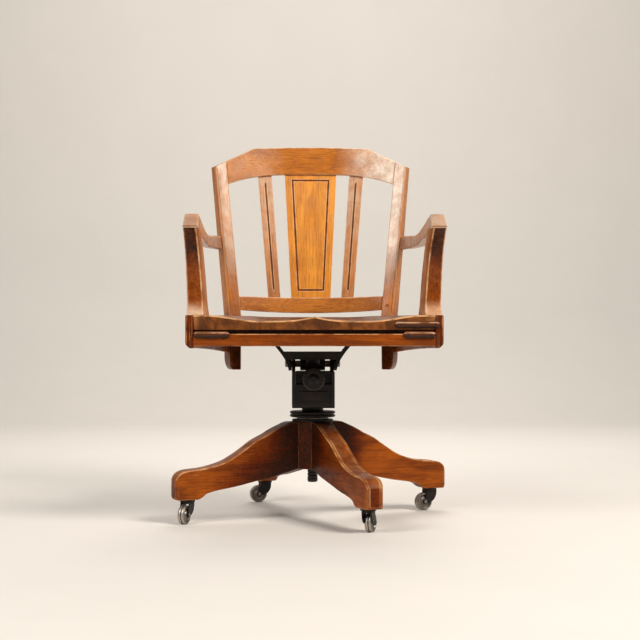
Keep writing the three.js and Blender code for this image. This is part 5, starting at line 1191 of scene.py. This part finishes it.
def side_rail_face(s, place, z, outer):
    """The inner or outer face of a side rail, straight from the front corner to the side of the stile."""
    front_x = s.seat_half - np.where(outer, 0, s.side_rail_thick)
    b = np.where(outer, stile_depth(s, np.zeros(1))[0] - s.side_rail_set, s.side_rail_set)
    end_x, end_y = stile_point(s, s.stile_width / 2 + s.fit, b, z)
    return lerp(front_x, end_x, place), lerp(SEAT_FRONT_Y, end_y, place)


def between_rails(s, y, z):
    """Half the width between the side rails at a place y."""
    front_x, front_y = side_rail_face(s, 0.0, z, False)
    end_x, end_y = side_rail_face(s, 1.0, z, False)
    return lerp(front_x, end_x, (y - front_y) / (end_y - front_y)) - s.fit


SIDE_RAIL_STATIONS, SIDE_RAIL_EASE = 70, 0.002
SIDE_RAIL_EDGES = (0.0025, 0.003, 0.003, 0.0025, CRISP, 0.0015)
SIDE_RAIL_WEAR = (0.2, 0.6, 0.7, 0.8, 0, 0.4)
SIDE_RAIL_DIRT, SIDE_RAIL_DIRT_SHARE = 0.52, 0.02  # how dark the front ends are, and how far back
FRONT_RAIL_EDGES = (0.0025, 0.001, 0.001, 0.001, 0.0006, 0.0025)
# the 0.9 tones at the cut darken the shadow gap under the board: painted shade
FRONT_RAIL_WEAR, FRONT_RAIL_TONE = (0.5, 0, 0, 0, 0, 0.9), (0.1, 0, 0, 0.9, 0.9, 0.1)


class CHAIR_OT_seat_rails(PieceOperator, bpy.types.Operator):
    """Side rails that converge to the back, and the front rail with its shadow gap"""

    bl_idname = "chair.seat_rails"
    bl_label = "Seat rails"

    def side_rails(self, s):
        """A bevelled section between two faces that converge; its underside falls as the power 1.5."""
        thick, bevel = s.side_rail_thick, s.side_rail_bevel
        span = SEAT_BACK_Y - SEAT_FRONT_Y
        place = end_stations(1.0, SIDE_RAIL_EASE / span, SIDE_RAIL_STATIONS)
        near = end_inset(place, 1.0, SIDE_RAIL_EASE / span) * span
        far, high = thick - near, -near
        low = -s.side_rail_depth - s.side_rail_fall * place * np.sqrt(place) + near
        corners = [
            (near, low), (far - bevel, low), (far, low + bevel), (far, high), ((near + far) / 2, high),
            (near, high),
        ]
        outline = eased(joined(corners), SIDE_RAIL_EDGES)
        share, z = outline[..., 0] / thick, outline[..., 1]
        tone = SIDE_RAIL_DIRT * (1 - smooth(place, 0, SIDE_RAIL_DIRT_SHARE))[:, None]
        inner_x, inner_y = side_rail_face(s, place[:, None], z, False)
        outer_x, outer_y = side_rail_face(s, place[:, None], z, True)
        x, y = lerp(inner_x, outer_x, share), lerp(inner_y, outer_y, share)
        for side, word in SIDES:
            along = (side * -0.16, 1, 0)
            finish = oak(f"oak_side_rail_{word}", along, BASE_TINTS, 15 + side, grime=0.4, sheen=0.12)
            rings = seat_point(side * x, y, z)
            fine(f"side_rail_{word}", rings, finish, corner_weights(SIDE_RAIL_WEAR), tone)

    def front_rail(self, s):
        """A rail whose upper front edge is cut away, which leaves a shadow gap under the board."""
        high = BOARD_LOW - s.fit
        low, step = high - s.front_rail_height, high - s.gap_height
        front, back = SEAT_FRONT_Y, SEAT_FRONT_Y + s.front_rail_thick
        inside = SEAT_FRONT_Y + s.gap_depth
        profile = [(front, low), (back, low), (back, high), (inside, high), (inside, step), (front, step)]
        y, z = eased(profile, FRONT_RAIL_EDGES).T
        rings = seat_point(np.linspace(-1, 1, 81)[:, None] * between_rails(s, y, z), y, z)
        finish = oak("oak_front_rail", (1, 0, 0), BASE_TINTS, 19, grime=0.4, sheen=0.12)
        wear, tone = corner_weights(FRONT_RAIL_WEAR), corner_values(FRONT_RAIL_TONE)
        fine("seat_rail_front", rings, finish, wear, tone)

    def build(self, s):
        self.side_rails(s)
        self.front_rail(s)


HOLLOW_RIM = (0.45, 0.9)
HOLLOW_FRONT = 0.78
HOLLOW_RISE = (0, 0.3)
HOLLOW_FALL = (0.62, 1)
HOLLOW_BACK = 0.2
POMMEL_SHARE = 0.74
POMMEL_FADE = (0.05, 0.75)
POMMEL_CURVE = 1.3
SEAT_ROWS, SEAT_COLUMNS = 110, 121
COLUMN_CURVE = 1.15  # draws the columns towards the sides
SIDE_EASE = 0.0012
NOTCH_STEP, NOTCH_CLEAR = 0.0001, 0.004  # rows close to the notch, and the next ones
FRONT_HIGHLIGHT, FRONT_HIGHLIGHT_DEPTHS = 0.9, (0.002, 0.012)
SIDE_WEAR, SIDE_WEAR_SHARES = 0.25, (0.9, 1)
SEAT_DIRT, SEAT_DIRT_SHARES = 0.15, (0.75, 1)


def seat_hollow(s, x, share, along):
    """Two hollows: full between their rims and along their middle, with a ridge exp(-(|x| / w)^1.3) between
    them that fades to the back."""
    rising = lerp(HOLLOW_FRONT, 1, smooth(along, *HOLLOW_RISE))
    falling = lerp(1, HOLLOW_BACK, smooth(along, *HOLLOW_FALL))
    rim = 1 - smooth(np.abs(share), *HOLLOW_RIM)
    ridge = np.exp(-((np.abs(x) / s.pommel) ** POMMEL_CURVE))
    pommel = POMMEL_SHARE * ridge * (1 - smooth(along, *POMMEL_FADE))
    return s.seat_hollow * rising * falling * rim * (1 - pommel)


class CHAIR_OT_seat_board(PieceOperator, bpy.types.Operator):
    """Scooped seat board"""

    bl_idname = "chair.seat_board"
    bl_label = "Seat board"

    def build(self, s):
        """Rings across the seat: the hollowed top, rounded arrises, and the flat underside. The board narrows
        between the stiles at its rear corners."""
        quarter = np.linspace(0, math.pi / 2, 6)
        front = SEAT_FRONT_Y + s.seat_edge * (1 - np.cos(quarter))
        notch = stile_point(s, s.stile_width / 2, 0, BOARD_LOW)[1] - 2 * s.wood_edge
        middle = np.linspace(SEAT_FRONT_Y + s.seat_edge, notch - NOTCH_CLEAR, SEAT_ROWS)[1:]
        rear = np.linspace(notch + NOTCH_CLEAR, SEAT_BACK_Y, 8)
        y = np.concatenate([front, middle, [notch - NOTCH_STEP, notch + NOTCH_STEP], rear])[:, None]
        drop = np.zeros(y.shape)
        drop[: len(quarter), 0] = s.seat_edge * (1 - np.sin(quarter))
        along = (y - SEAT_FRONT_Y) / (SEAT_BACK_Y - SEAT_FRONT_Y)
        inner = abs(stile_point(s, -s.stile_width / 2, 0, BOARD_LOW)[0]) - s.fit - s.wood_edge
        wide = between_rails(s, y, 0)
        half = np.where(y > notch, np.minimum(inner, wide), wide)
        low_half = half - s.seat_taper
        share = np.linspace(-1, 1, SEAT_COLUMNS)[None, :]
        share = np.sign(share) * (1 - (1 - np.abs(share)) ** COLUMN_CURVE)
        x = share * (half - SIDE_EASE)
        top = -seat_hollow(s, x, x / wide, along) - drop
        upper, lower = seat_point(half, y, -SIDE_EASE - drop), seat_point(low_half, y, BOARD_LOW + SIDE_EASE)
        right = np.concatenate([upper, lower], 1)
        left = right[:, ::-1] * np.array([-1, 1, 1])
        under = seat_point(share[:, ::-1] * (low_half - SIDE_EASE), y, BOARD_LOW)
        rings = np.concatenate([seat_point(x, y, top), right, under, left], 1)
        wear, tone = np.zeros(rings.shape[:2]), np.zeros(rings.shape[:2])
        on_top = slice(0, SEAT_COLUMNS)
        # the rounded front edge is pale as a painted highlight
        front_highlight = 1 - smooth(y, *(SEAT_FRONT_Y + v for v in FRONT_HIGHLIGHT_DEPTHS))
        front_highlight = FRONT_HIGHLIGHT * front_highlight * (drop < s.seat_edge * 0.9)
        side_wear = SIDE_WEAR * smooth(np.abs(share), *SIDE_WEAR_SHARES)
        wear[:, on_top] = np.maximum(front_highlight, side_wear)
        rubbed = smooth(top, -s.seat_hollow, -s.seat_hollow * 0.3)
        tone[:, on_top] = SEAT_DIRT * rubbed + SEAT_DIRT * smooth(along, *SEAT_DIRT_SHARES)
        tone[0] = SEAT_DIRT
        finish = oak("oak_seat", (0, 1, 0), SEAT_TINTS, 21, gloss=0.38, coat=0.15, grime=0.6)
        fine("seat_board", rings, finish, wear, tone)


REED_NODES = ("reed_lower_left", "reed_lower_right", "reed_upper_right")
NAIL_RADIUS, NAIL_DEPTH, NAIL_SHARE = 0.0016, 0.0009, 0.75  # the share of the height is its end distance
REED_HIGHLIGHT, REED_HIGHLIGHT_TURN, REED_HIGHLIGHT_WIDTH = 0.75, 2.1, 0.2
REED_SHADE, REED_SHADE_TURNS = 0.9, (0.7, 1.8)
LEAST_CAP = 0.12


class CHAIR_OT_reeds(PieceOperator, bpy.types.Operator):
    """Half-round reeds nailed on the front corners"""

    bl_idname = "chair.reeds"
    bl_label = "Reeds"

    def build(self, s):
        """A half ellipse carried along X; its ends round off as the square root of 1 - u squared, and each
        nail is a dimple exp(-(d / r)^2)."""
        turn = np.linspace(0, math.pi, 25)[None, :]
        # a painted highlight streak along the upper part of each reed, and painted shade over its lower part
        wear = REED_HIGHLIGHT * np.append(np.exp(-(((turn[0] - REED_HIGHLIGHT_TURN) / REED_HIGHLIGHT_WIDTH) ** 2)), 0)
        dirt = REED_SHADE * (1 - smooth(turn, *REED_SHADE_TURNS))
        for node in REED_NODES:
            low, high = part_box(node)
            span, height, middle = high.x - low.x, high.z - low.z, (low.z + high.z) / 2
            place = end_stations(span, height / 2, 110, 12)
            cap = np.clip(1 - np.minimum(place, span - place) / (height / 2), 0, 1)
            full = np.clip(np.sqrt(1 - cap**2), LEAST_CAP, 1)[:, None]
            y = high.y - s.reed_proud * full * np.sin(turn)
            z = middle - height / 2 * full * np.cos(turn)
            x = np.broadcast_to(low.x + place[:, None], y.shape)
            tone = np.broadcast_to(dirt, y.shape)
            for nail_x in (low.x + height * NAIL_SHARE, high.x - height * NAIL_SHARE):
                apart = (x - nail_x) ** 2 + (z - middle) ** 2
                dimple = np.exp(-apart / NAIL_RADIUS**2) * np.sin(turn)
                y = y + NAIL_DEPTH * dimple
                tone = np.maximum(tone, dimple)
            rings = np.stack([x, y, z], -1)
            flat = rings[:, -1:] * 0.5 + rings[:, :1] * 0.5
            rings, tone = np.concatenate([rings, flat], 1), np.pad(tone, ((0, 0), (0, 1)))
            finish = oak(f"oak_{node}", (1, 0, 0), REED_TINTS, 23, gloss=0.22, coat=0.25, sheen=0.2)
            fine(node, rings, finish, wear, tone)


ARM_ROWS = (
    (0.065, 0, 0, 0.02, 0.05), (0.135, 0.083, 0.5, 0.04, 0.06), (0.27, 0.4, 0.4, 0.1, 0.08),
    (0.54, 0.82, 1, 0.16, 0.14), (0.69, 1, 1, 0.24, 0.28), (0.84, 1.35, 1.45, 0.55, 0.56), (1, 2, 2, 1, 1),
)
ARM_RISES = (0.228, 0.198, 0.205)
ARM_THICKS = (0.033, 0.028, 0.036)
ARM_EDGE_STEPS = 6
TIP_EASE, TIP_EDGE, TIP_EDGE_FADE = 0.0022, 0.0024, 0.05
TIP_DRAWN, TIP_AHEAD = (1.0, 0.5, 0.2, 0), (0, 0.1, 0.45, 1)  # shares of the tip's ease on its first rings
ARM_WEAR, TIP_WEAR, TIP_DIRT, TIP_FADE = (0.4, 0.4, 0.8, 0.8), 0.3, 0.12, (0.9, 1.3)
ARM_FILM, ARM_FILM_SHARES, TIP_FILM = 0.6, (0.3, 0.8), 0.8
ARM_END_SHARES = (0.9, 1.0)
POST_ROWS = (
    (0, 0), (0.05, 0.42), (0.11, 0.75), (0.18, 0.94), (0.28, 1), (0.4, 1.025), (0.52, 1.09), (0.64, 1.2),
    (0.76, 1.35), (0.87, 1.59), (0.95, 1.81), (1, 2),
)
POST_WIDTHS = (0.038, 0.030)
POST_DEPTHS = (0.070, 0.055, 0.056)


class CHAIR_OT_arms(PieceOperator, bpy.types.Operator):
    """Two arms with a bevelled front end"""

    bl_idname = "chair.arms"
    bl_label = "Arms"

    def build(self, s):
        """A rounded section whose width, rise and thickness run through the rows; the front is a flat bevel
        from the tip up to the first row."""
        rows = np.array(ARM_ROWS)
        first = rows[0, 0]
        along = np.concatenate([np.linspace(0, first, 9), np.linspace(first, 1, 110)[1:]])
        rise_stage, thick_stage, inner, outer = (through(rows[:, [0, k]], along) for k in (1, 2, 3, 4))
        rise, thick = staged(*ARM_RISES, rise_stage), staged(*ARM_THICKS, thick_stage)
        on_bevel = along <= first
        up = np.clip(along / first, 0, 1)
        top = np.where(on_bevel, ARM_RISES[0] - s.arm_bevel * (1 - up), rise)
        low = np.where(on_bevel, ARM_RISES[0] - ARM_THICKS[0], rise - thick)
        inner, outer = np.where(on_bevel, up * inner, inner), np.where(on_bevel, up * outer, outer)
        inner_x, end_y = stile_point(s, s.stile_width / 2 + s.fit, s.arm_end_set, ARM_RISES[2])
        back = stile_depth(s, np.array([ARM_RISES[2]]))[0] - s.arm_end_set
        outer_x, outer_y = stile_point(s, s.stile_width / 2 + s.fit, back, ARM_RISES[2])
        x_low = lerp(s.arm_half - s.arm_width, inner_x, inner)
        x_high = lerp(s.arm_half, outer_x, outer)
        drawn, ahead = (np.append(np.multiply(TIP_EASE, v), 0 * along) for v in (TIP_DRAWN, TIP_AHEAD))
        tip_rings = len(TIP_DRAWN)
        along, top, low, x_low, x_high = (
            np.append([v[0]] * tip_rings, v) for v in (along, top, low, x_low, x_high)
        )
        corners = rectangle(x_low + drawn, x_high - drawn, low + drawn, top - drawn)
        radius = lerp(TIP_EDGE, s.arm_edge, smooth(along, first, first + TIP_EDGE_FADE))
        outline = eased(corners, radius[:, None], ARM_EDGE_STEPS)
        x, z = outline[..., 0], outline[..., 1]
        # the rear end lies against the turned side of the stile
        last = smooth(along, *ARM_END_SHARES)[:, None]
        over = z - ARM_RISES[2]
        slant = last * (outer_y - end_y) * np.clip((x - inner_x) / (outer_x - inner_x), 0, 1)
        y = lerp(-s.arm_tip, end_y, along)[:, None] + TIP_EASE - ahead[:, None]
        y = np.maximum(y + slant + last * over * math.tan(s.back_lean), -s.arm_tip)
        x = x + last * over * math.tan(s.stile_splay)
        near_tip = (1 - smooth(along, *(first * v for v in TIP_FADE)))[:, None]
        wear = np.maximum(corner_weights(ARM_WEAR, ARM_EDGE_STEPS), TIP_WEAR * near_tip)
        film = np.maximum(ARM_FILM * smooth(along, *ARM_FILM_SHARES)[:, None], TIP_FILM * near_tip)
        looks = {"gloss": 0.32, "coat": 0.2, "haze_and_sheen": "film_grey"}
        for side, word in SIDES:
            finish = oak(f"oak_arm_{word}", (0, 1, -0.06), FRAME_TINTS, 27 + side, **looks)
            fine(f"arm_{word}", seat_point(side * x, y, z), finish, wear, TIP_DIRT * near_tip, film)


POST_STATIONS, POST_EASE = 90, 0.004
POST_WEAR = (1.0, 0.7, 0.4, 0.5)
FACE_DEPTHS = (0.001, 0.008)  # the marks of the front face fade between these depths
UPPER_DARKENING, UPPER_DARKENING_RISE, UPPER_DARKENING_FOOT = (0.4, 0.82), (0.5, 0.8), (0.02, 0.2)
POST_FILM_FADE = (0.04, 0.2)


class CHAIR_OT_arm_posts(PieceOperator, bpy.types.Operator):
    """Two serpentine arm posts"""

    bl_idname = "chair.arm_posts"
    bl_label = "Arm posts"

    def build(self, s):
        """An eased rectangle whose front edge runs from the foot through the waist to the arm's tip."""
        low, high = s.fit, ARM_RISES[0] - ARM_THICKS[0] - s.fit
        share = end_stations(1.0, POST_EASE, POST_STATIONS)
        inset = end_inset(share, 1.0, POST_EASE) * (high - low)
        stage = through(POST_ROWS, share)
        front = staged(SEAT_FRONT_Y + s.post_foot_set, SEAT_FRONT_Y + s.post_waist_set, -s.arm_tip, stage)
        depth = staged(*POST_DEPTHS, smooth(stage, 0, 1) + smooth(stage, 1, 2))
        width = lerp(*POST_WIDTHS, share)
        rail_x, rail_y = side_rail_face(s, 1.0, 0.0, True)
        slope = (s.seat_half - rail_x) / (rail_y - SEAT_FRONT_Y)
        outer = lerp(s.seat_half - slope * s.post_foot_set, s.arm_half, share)
        corners = rectangle(outer - width + inset, outer - inset, front + inset, front + depth - inset)
        outline = eased(corners, s.post_edge)
        y, share, front = outline[..., 1], share[:, None], front[:, None]
        x, z = outline[..., 0] - slope * (y - front), lerp(low, high, share)
        # the upper part of the front face is darkened, nearly black; its rounded front corners are kept
        # lighter, a painted shading
        facing = 1 - smooth(y - front, *FACE_DEPTHS)
        darkened = lerp(*UPPER_DARKENING, smooth(share, *UPPER_DARKENING_RISE)) * smooth(share, *UPPER_DARKENING_FOOT)
        tone = facing * darkened * (1 - 0.8 * corner_weights([1, 1, 0, 0]))
        # the foot of the front face takes the film: hazy finish with a painted sheen
        film = facing * (1 - smooth(share, *POST_FILM_FADE))
        for side, word in SIDES:
            finish = oak(f"oak_post_{word}", (0, 0.05, 1), FRAME_TINTS, 33 + side, coat=0.1, sheen=0.12)
            rings = seat_point(side * x, y, z)
            fine(f"arm_post_{word}", rings, finish, corner_weights(POST_WEAR), tone, film)


PLUG_RADIUS_SHARES = (1, 1, 0.96, 0.8, 0.4, 0.02)
PLUG_RISE_SHARES = (-0.4, 0.3, 0.75, 0.95, 1, 1)
PLUG_SET = 0.002  # inwards from the middle of a stile's face


class CHAIR_OT_plugs(PieceOperator, bpy.types.Operator):
    """Wooden plugs over the screws of the stiles"""

    bl_idname = "chair.plugs"
    bl_label = "Plugs"

    plug_rise: length("Plug rise", "How far a plug stands proud", 0.0006)

    def build(self, s):
        """A flat dome square to the face of each stile, with its rim sunk in it."""
        finish = oak("oak_plug", (1, 0, 0), FRAME_TINTS, 40)
        level = s.lower_rail_base + s.lower_rail_height / 3
        x, y = stile_point(s, -PLUG_SET, 0, level)
        radius = s.plug_radius * np.array(PLUG_RADIUS_SHARES)[:, None]
        out = self.plug_rise * np.array(PLUG_RISE_SHARES)[:, None]
        across, up = radius * np.cos(bearings(24)), radius * np.sin(bearings(24))
        c, n = math.cos(s.stile_turn), math.sin(s.stile_turn)
        plug_y = y - across * n - out * c + up * math.tan(s.back_lean)
        for side, word in SIDES:
            rings = seat_point(side * (x + across * c - out * n), plug_y, level + up)
            made = loft(f"stile_plug_{word}_0", rings, tone=0.2)
            made.data.materials.append(finish)
            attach(made, "seat")


KEPT_WOOD = ("seat_rail_rear", "seat_batten_front", "seat_batten_rear")
CASTINGS = ("tilt_housing", "tilt_lever", "tilt_iron_right", "tilt_iron_left")
WELD_DISTANCE = 0.00002
BEVEL_ANGLE = math.radians(40)


class CHAIR_OT_kept_nodes(PieceOperator, bpy.types.Operator):
    """Finishes and eased edges for the pieces that keep their own shape"""

    bl_idname = "chair.kept_nodes"
    bl_label = "Kept pieces"

    cast_edge: length("Cast edge", "Rounding of the edges of the castings", 0.0016)
    small_edge: length("Small edge", "Rounding of the edges of the other pieces", 0.0007)

    def build(self, s):
        for name, node in frame["nodes"].items():
            if node.hide_render:
                continue
            finish = iron() if SLOTS[name] == "iron" else steel()
            if name in KEPT_WOOD:
                finish = oak(f"oak_{name}", (1, 0, 0), SEAT_TINTS, len(name), gloss=0.5, coat=0.0)
            node.data.materials.clear()
            node.data.materials.append(finish)
            weld = node.modifiers.new("weld", "WELD")
            weld.merge_threshold = WELD_DISTANCE
            bevel = node.modifiers.new("eased", "BEVEL")
            bevel.width = self.cast_edge if name in CASTINGS else self.small_edge
            bevel.segments = 3
            bevel.limit_method = "ANGLE"
            bevel.angle_limit = BEVEL_ANGLE


# each lamp's place, target, size, power and colour
LAMPS = {
    "key": ((2.2, -2.0, 3.0), (0, 0, 0.5), 1.6, 140, (1.0, 0.96, 0.90)),
    "fill": ((-2.4, -2.3, 2.6), (0, 0, 0.5), 1.8, 76, (1.0, 0.97, 0.94)),
    "back": ((0.3, 2.4, 2.8), (0, 0, 0.5), 1.8, 32, (1.0, 0.97, 0.93)),
    "backdrop": ((0.0, 1.6, 3.6), (0, 4.8, 1.2), 2.4, 70, (1.0, 0.98, 0.96)),
}
WORLD_COLOUR, WORLD_STRENGTH = (1.0, 0.98, 0.95, 1), 0.16
FLOOR_MARKS = (3, 5, 0.6), (0.3, 0.7), (0, 0.10)
FLOOR_ROUGH = 0.75
BACKDROP_TOP = 7.0
SENSOR_WIDTH = 36.0  # millimetres


class CHAIR_OT_stage(PieceOperator, bpy.types.Operator):
    """Pale floor and backdrop, soft studio light and the camera"""

    bl_idname = "chair.stage"
    bl_label = "Stage"

    lens: bpy.props.FloatProperty(name="Lens", description="Focal length in millimetres", default=85.0)
    camera_y: length("Camera distance", "Camera in front of the spindle", 3.6594)
    camera_x: length("Camera side", "Camera to the left of the spindle", -0.0714)
    camera_z: length("Camera height", "Camera above the floor", 0.475)
    camera_turn: angle("Camera turn", "How far the camera turns to the right", -1.4)
    floor_half: length("Floor half", "Half the width of the floor", 40.0)
    sweep_y: length("Sweep", "Where the floor begins to rise behind", 3.2)
    sweep_radius: length("Sweep radius", "Radius of the rise to the backdrop", 1.6)

    def floor(self):
        """The floor runs back, turns up by a quarter circle and goes on as the backdrop."""
        turn = np.linspace(0, math.pi / 2, 24)
        y = np.concatenate([[-self.floor_half], self.sweep_y + self.sweep_radius * np.sin(turn)])
        z = np.concatenate([[0.0], self.sweep_radius * (1 - np.cos(turn))])
        y, z = np.append(y, y[-1]), np.append(z, BACKDROP_TOP)
        x = np.array([-self.floor_half, self.floor_half])
        points = np.stack([np.repeat(x, len(y)), np.tile(y, 2), np.tile(z, 2)], -1)
        i = np.arange(len(y) - 1)
        quads = np.stack([i, i + len(y), i + len(y) + 1, i + 1], -1)
        mesh = bpy.data.meshes.new("floor")
        mesh.from_pydata(points.tolist(), [], quads.tolist())
        mesh.shade_smooth()
        made = bpy.data.objects.new("floor", mesh)
        bpy.context.scene.collection.objects.link(made)
        n = Nodes("pale_floor")
        pale = tint("floor")
        ground = n.blend(n.patches(n.spot(), *FLOOR_MARKS), pale, scaled(pale, 0.8))
        mesh.materials.append(n.finish(base_color=ground, roughness=FLOOR_ROUGH))

    def lamp(self, name, place, target, size, power, tint):
        data = bpy.data.lights.new(name, "AREA")
        data.shape = "DISK"
        data.size, data.energy, data.color = size, power, tint
        made = bpy.data.objects.new(name, data)
        made.location = place
        made.rotation_euler = (Vector(target) - Vector(place)).to_track_quat("-Z", "Y").to_euler()
        bpy.context.scene.collection.objects.link(made)

    def build(self, s):
        self.floor()
        for name, lamp in LAMPS.items():
            self.lamp(name, *lamp)
        world = bpy.data.worlds.new("studio")
        world.use_nodes = True
        background = world.node_tree.nodes["Background"].inputs
        background["Color"].default_value = WORLD_COLOUR
        background["Strength"].default_value = WORLD_STRENGTH
        scene = bpy.context.scene
        scene.world = world
        scene.view_settings.view_transform = "Standard"
        data = bpy.data.cameras.new("camera")
        data.lens, data.sensor_width = self.lens, SENSOR_WIDTH
        camera = bpy.data.objects.new("camera", data)
        camera.location = (self.camera_x, -self.camera_y, self.camera_z)
        camera.rotation_euler = (math.pi / 2, 0, self.camera_turn)
        scene.collection.objects.link(camera)
        scene.camera = camera


class CHAIR_PT_panel(bpy.types.Panel):
    """Lists the pieces and the stage in the sidebar"""

    bl_label = "Swivel Chair"
    bl_idname = "CHAIR_PT_panel"
    bl_space_type = "VIEW_3D"
    bl_region_type = "UI"
    bl_category = "Chair"

    def draw(self, context):
        for operator in OPERATORS:
            self.layout.operator(operator.bl_idname)


OPERATORS = (
    CHAIR_OT_legs,
    CHAIR_OT_hub,
    CHAIR_OT_casters,
    CHAIR_OT_lift,
    CHAIR_OT_tension,
    CHAIR_OT_stiles,
    CHAIR_OT_back_rails,
    CHAIR_OT_splat,
    CHAIR_OT_slats,
    CHAIR_OT_seat_rails,
    CHAIR_OT_seat_board,
    CHAIR_OT_reeds,
    CHAIR_OT_arms,
    CHAIR_OT_arm_posts,
    CHAIR_OT_plugs,
    CHAIR_OT_kept_nodes,
    CHAIR_OT_stage,
)
GROUPS = (ChairSizes, ChairColours)


def register():
    for item in (*GROUPS, *OPERATORS, CHAIR_PT_panel):
        bpy.utils.register_class(item)
    bpy.types.Scene.chair_sizes = bpy.props.PointerProperty(type=ChairSizes)
    bpy.types.Scene.chair_colours = bpy.props.PointerProperty(type=ChairColours)


def unregister():
    del bpy.types.Scene.chair_colours
    del bpy.types.Scene.chair_sizes
    for item in reversed((*GROUPS, *OPERATORS, CHAIR_PT_panel)):
        bpy.utils.unregister_class(item)


def main():
    register()
    for operator in OPERATORS:
        group, name = operator.bl_idname.split(".")
        getattr(getattr(bpy.ops, group), name)()


if __name__ == "__main__":
    main()
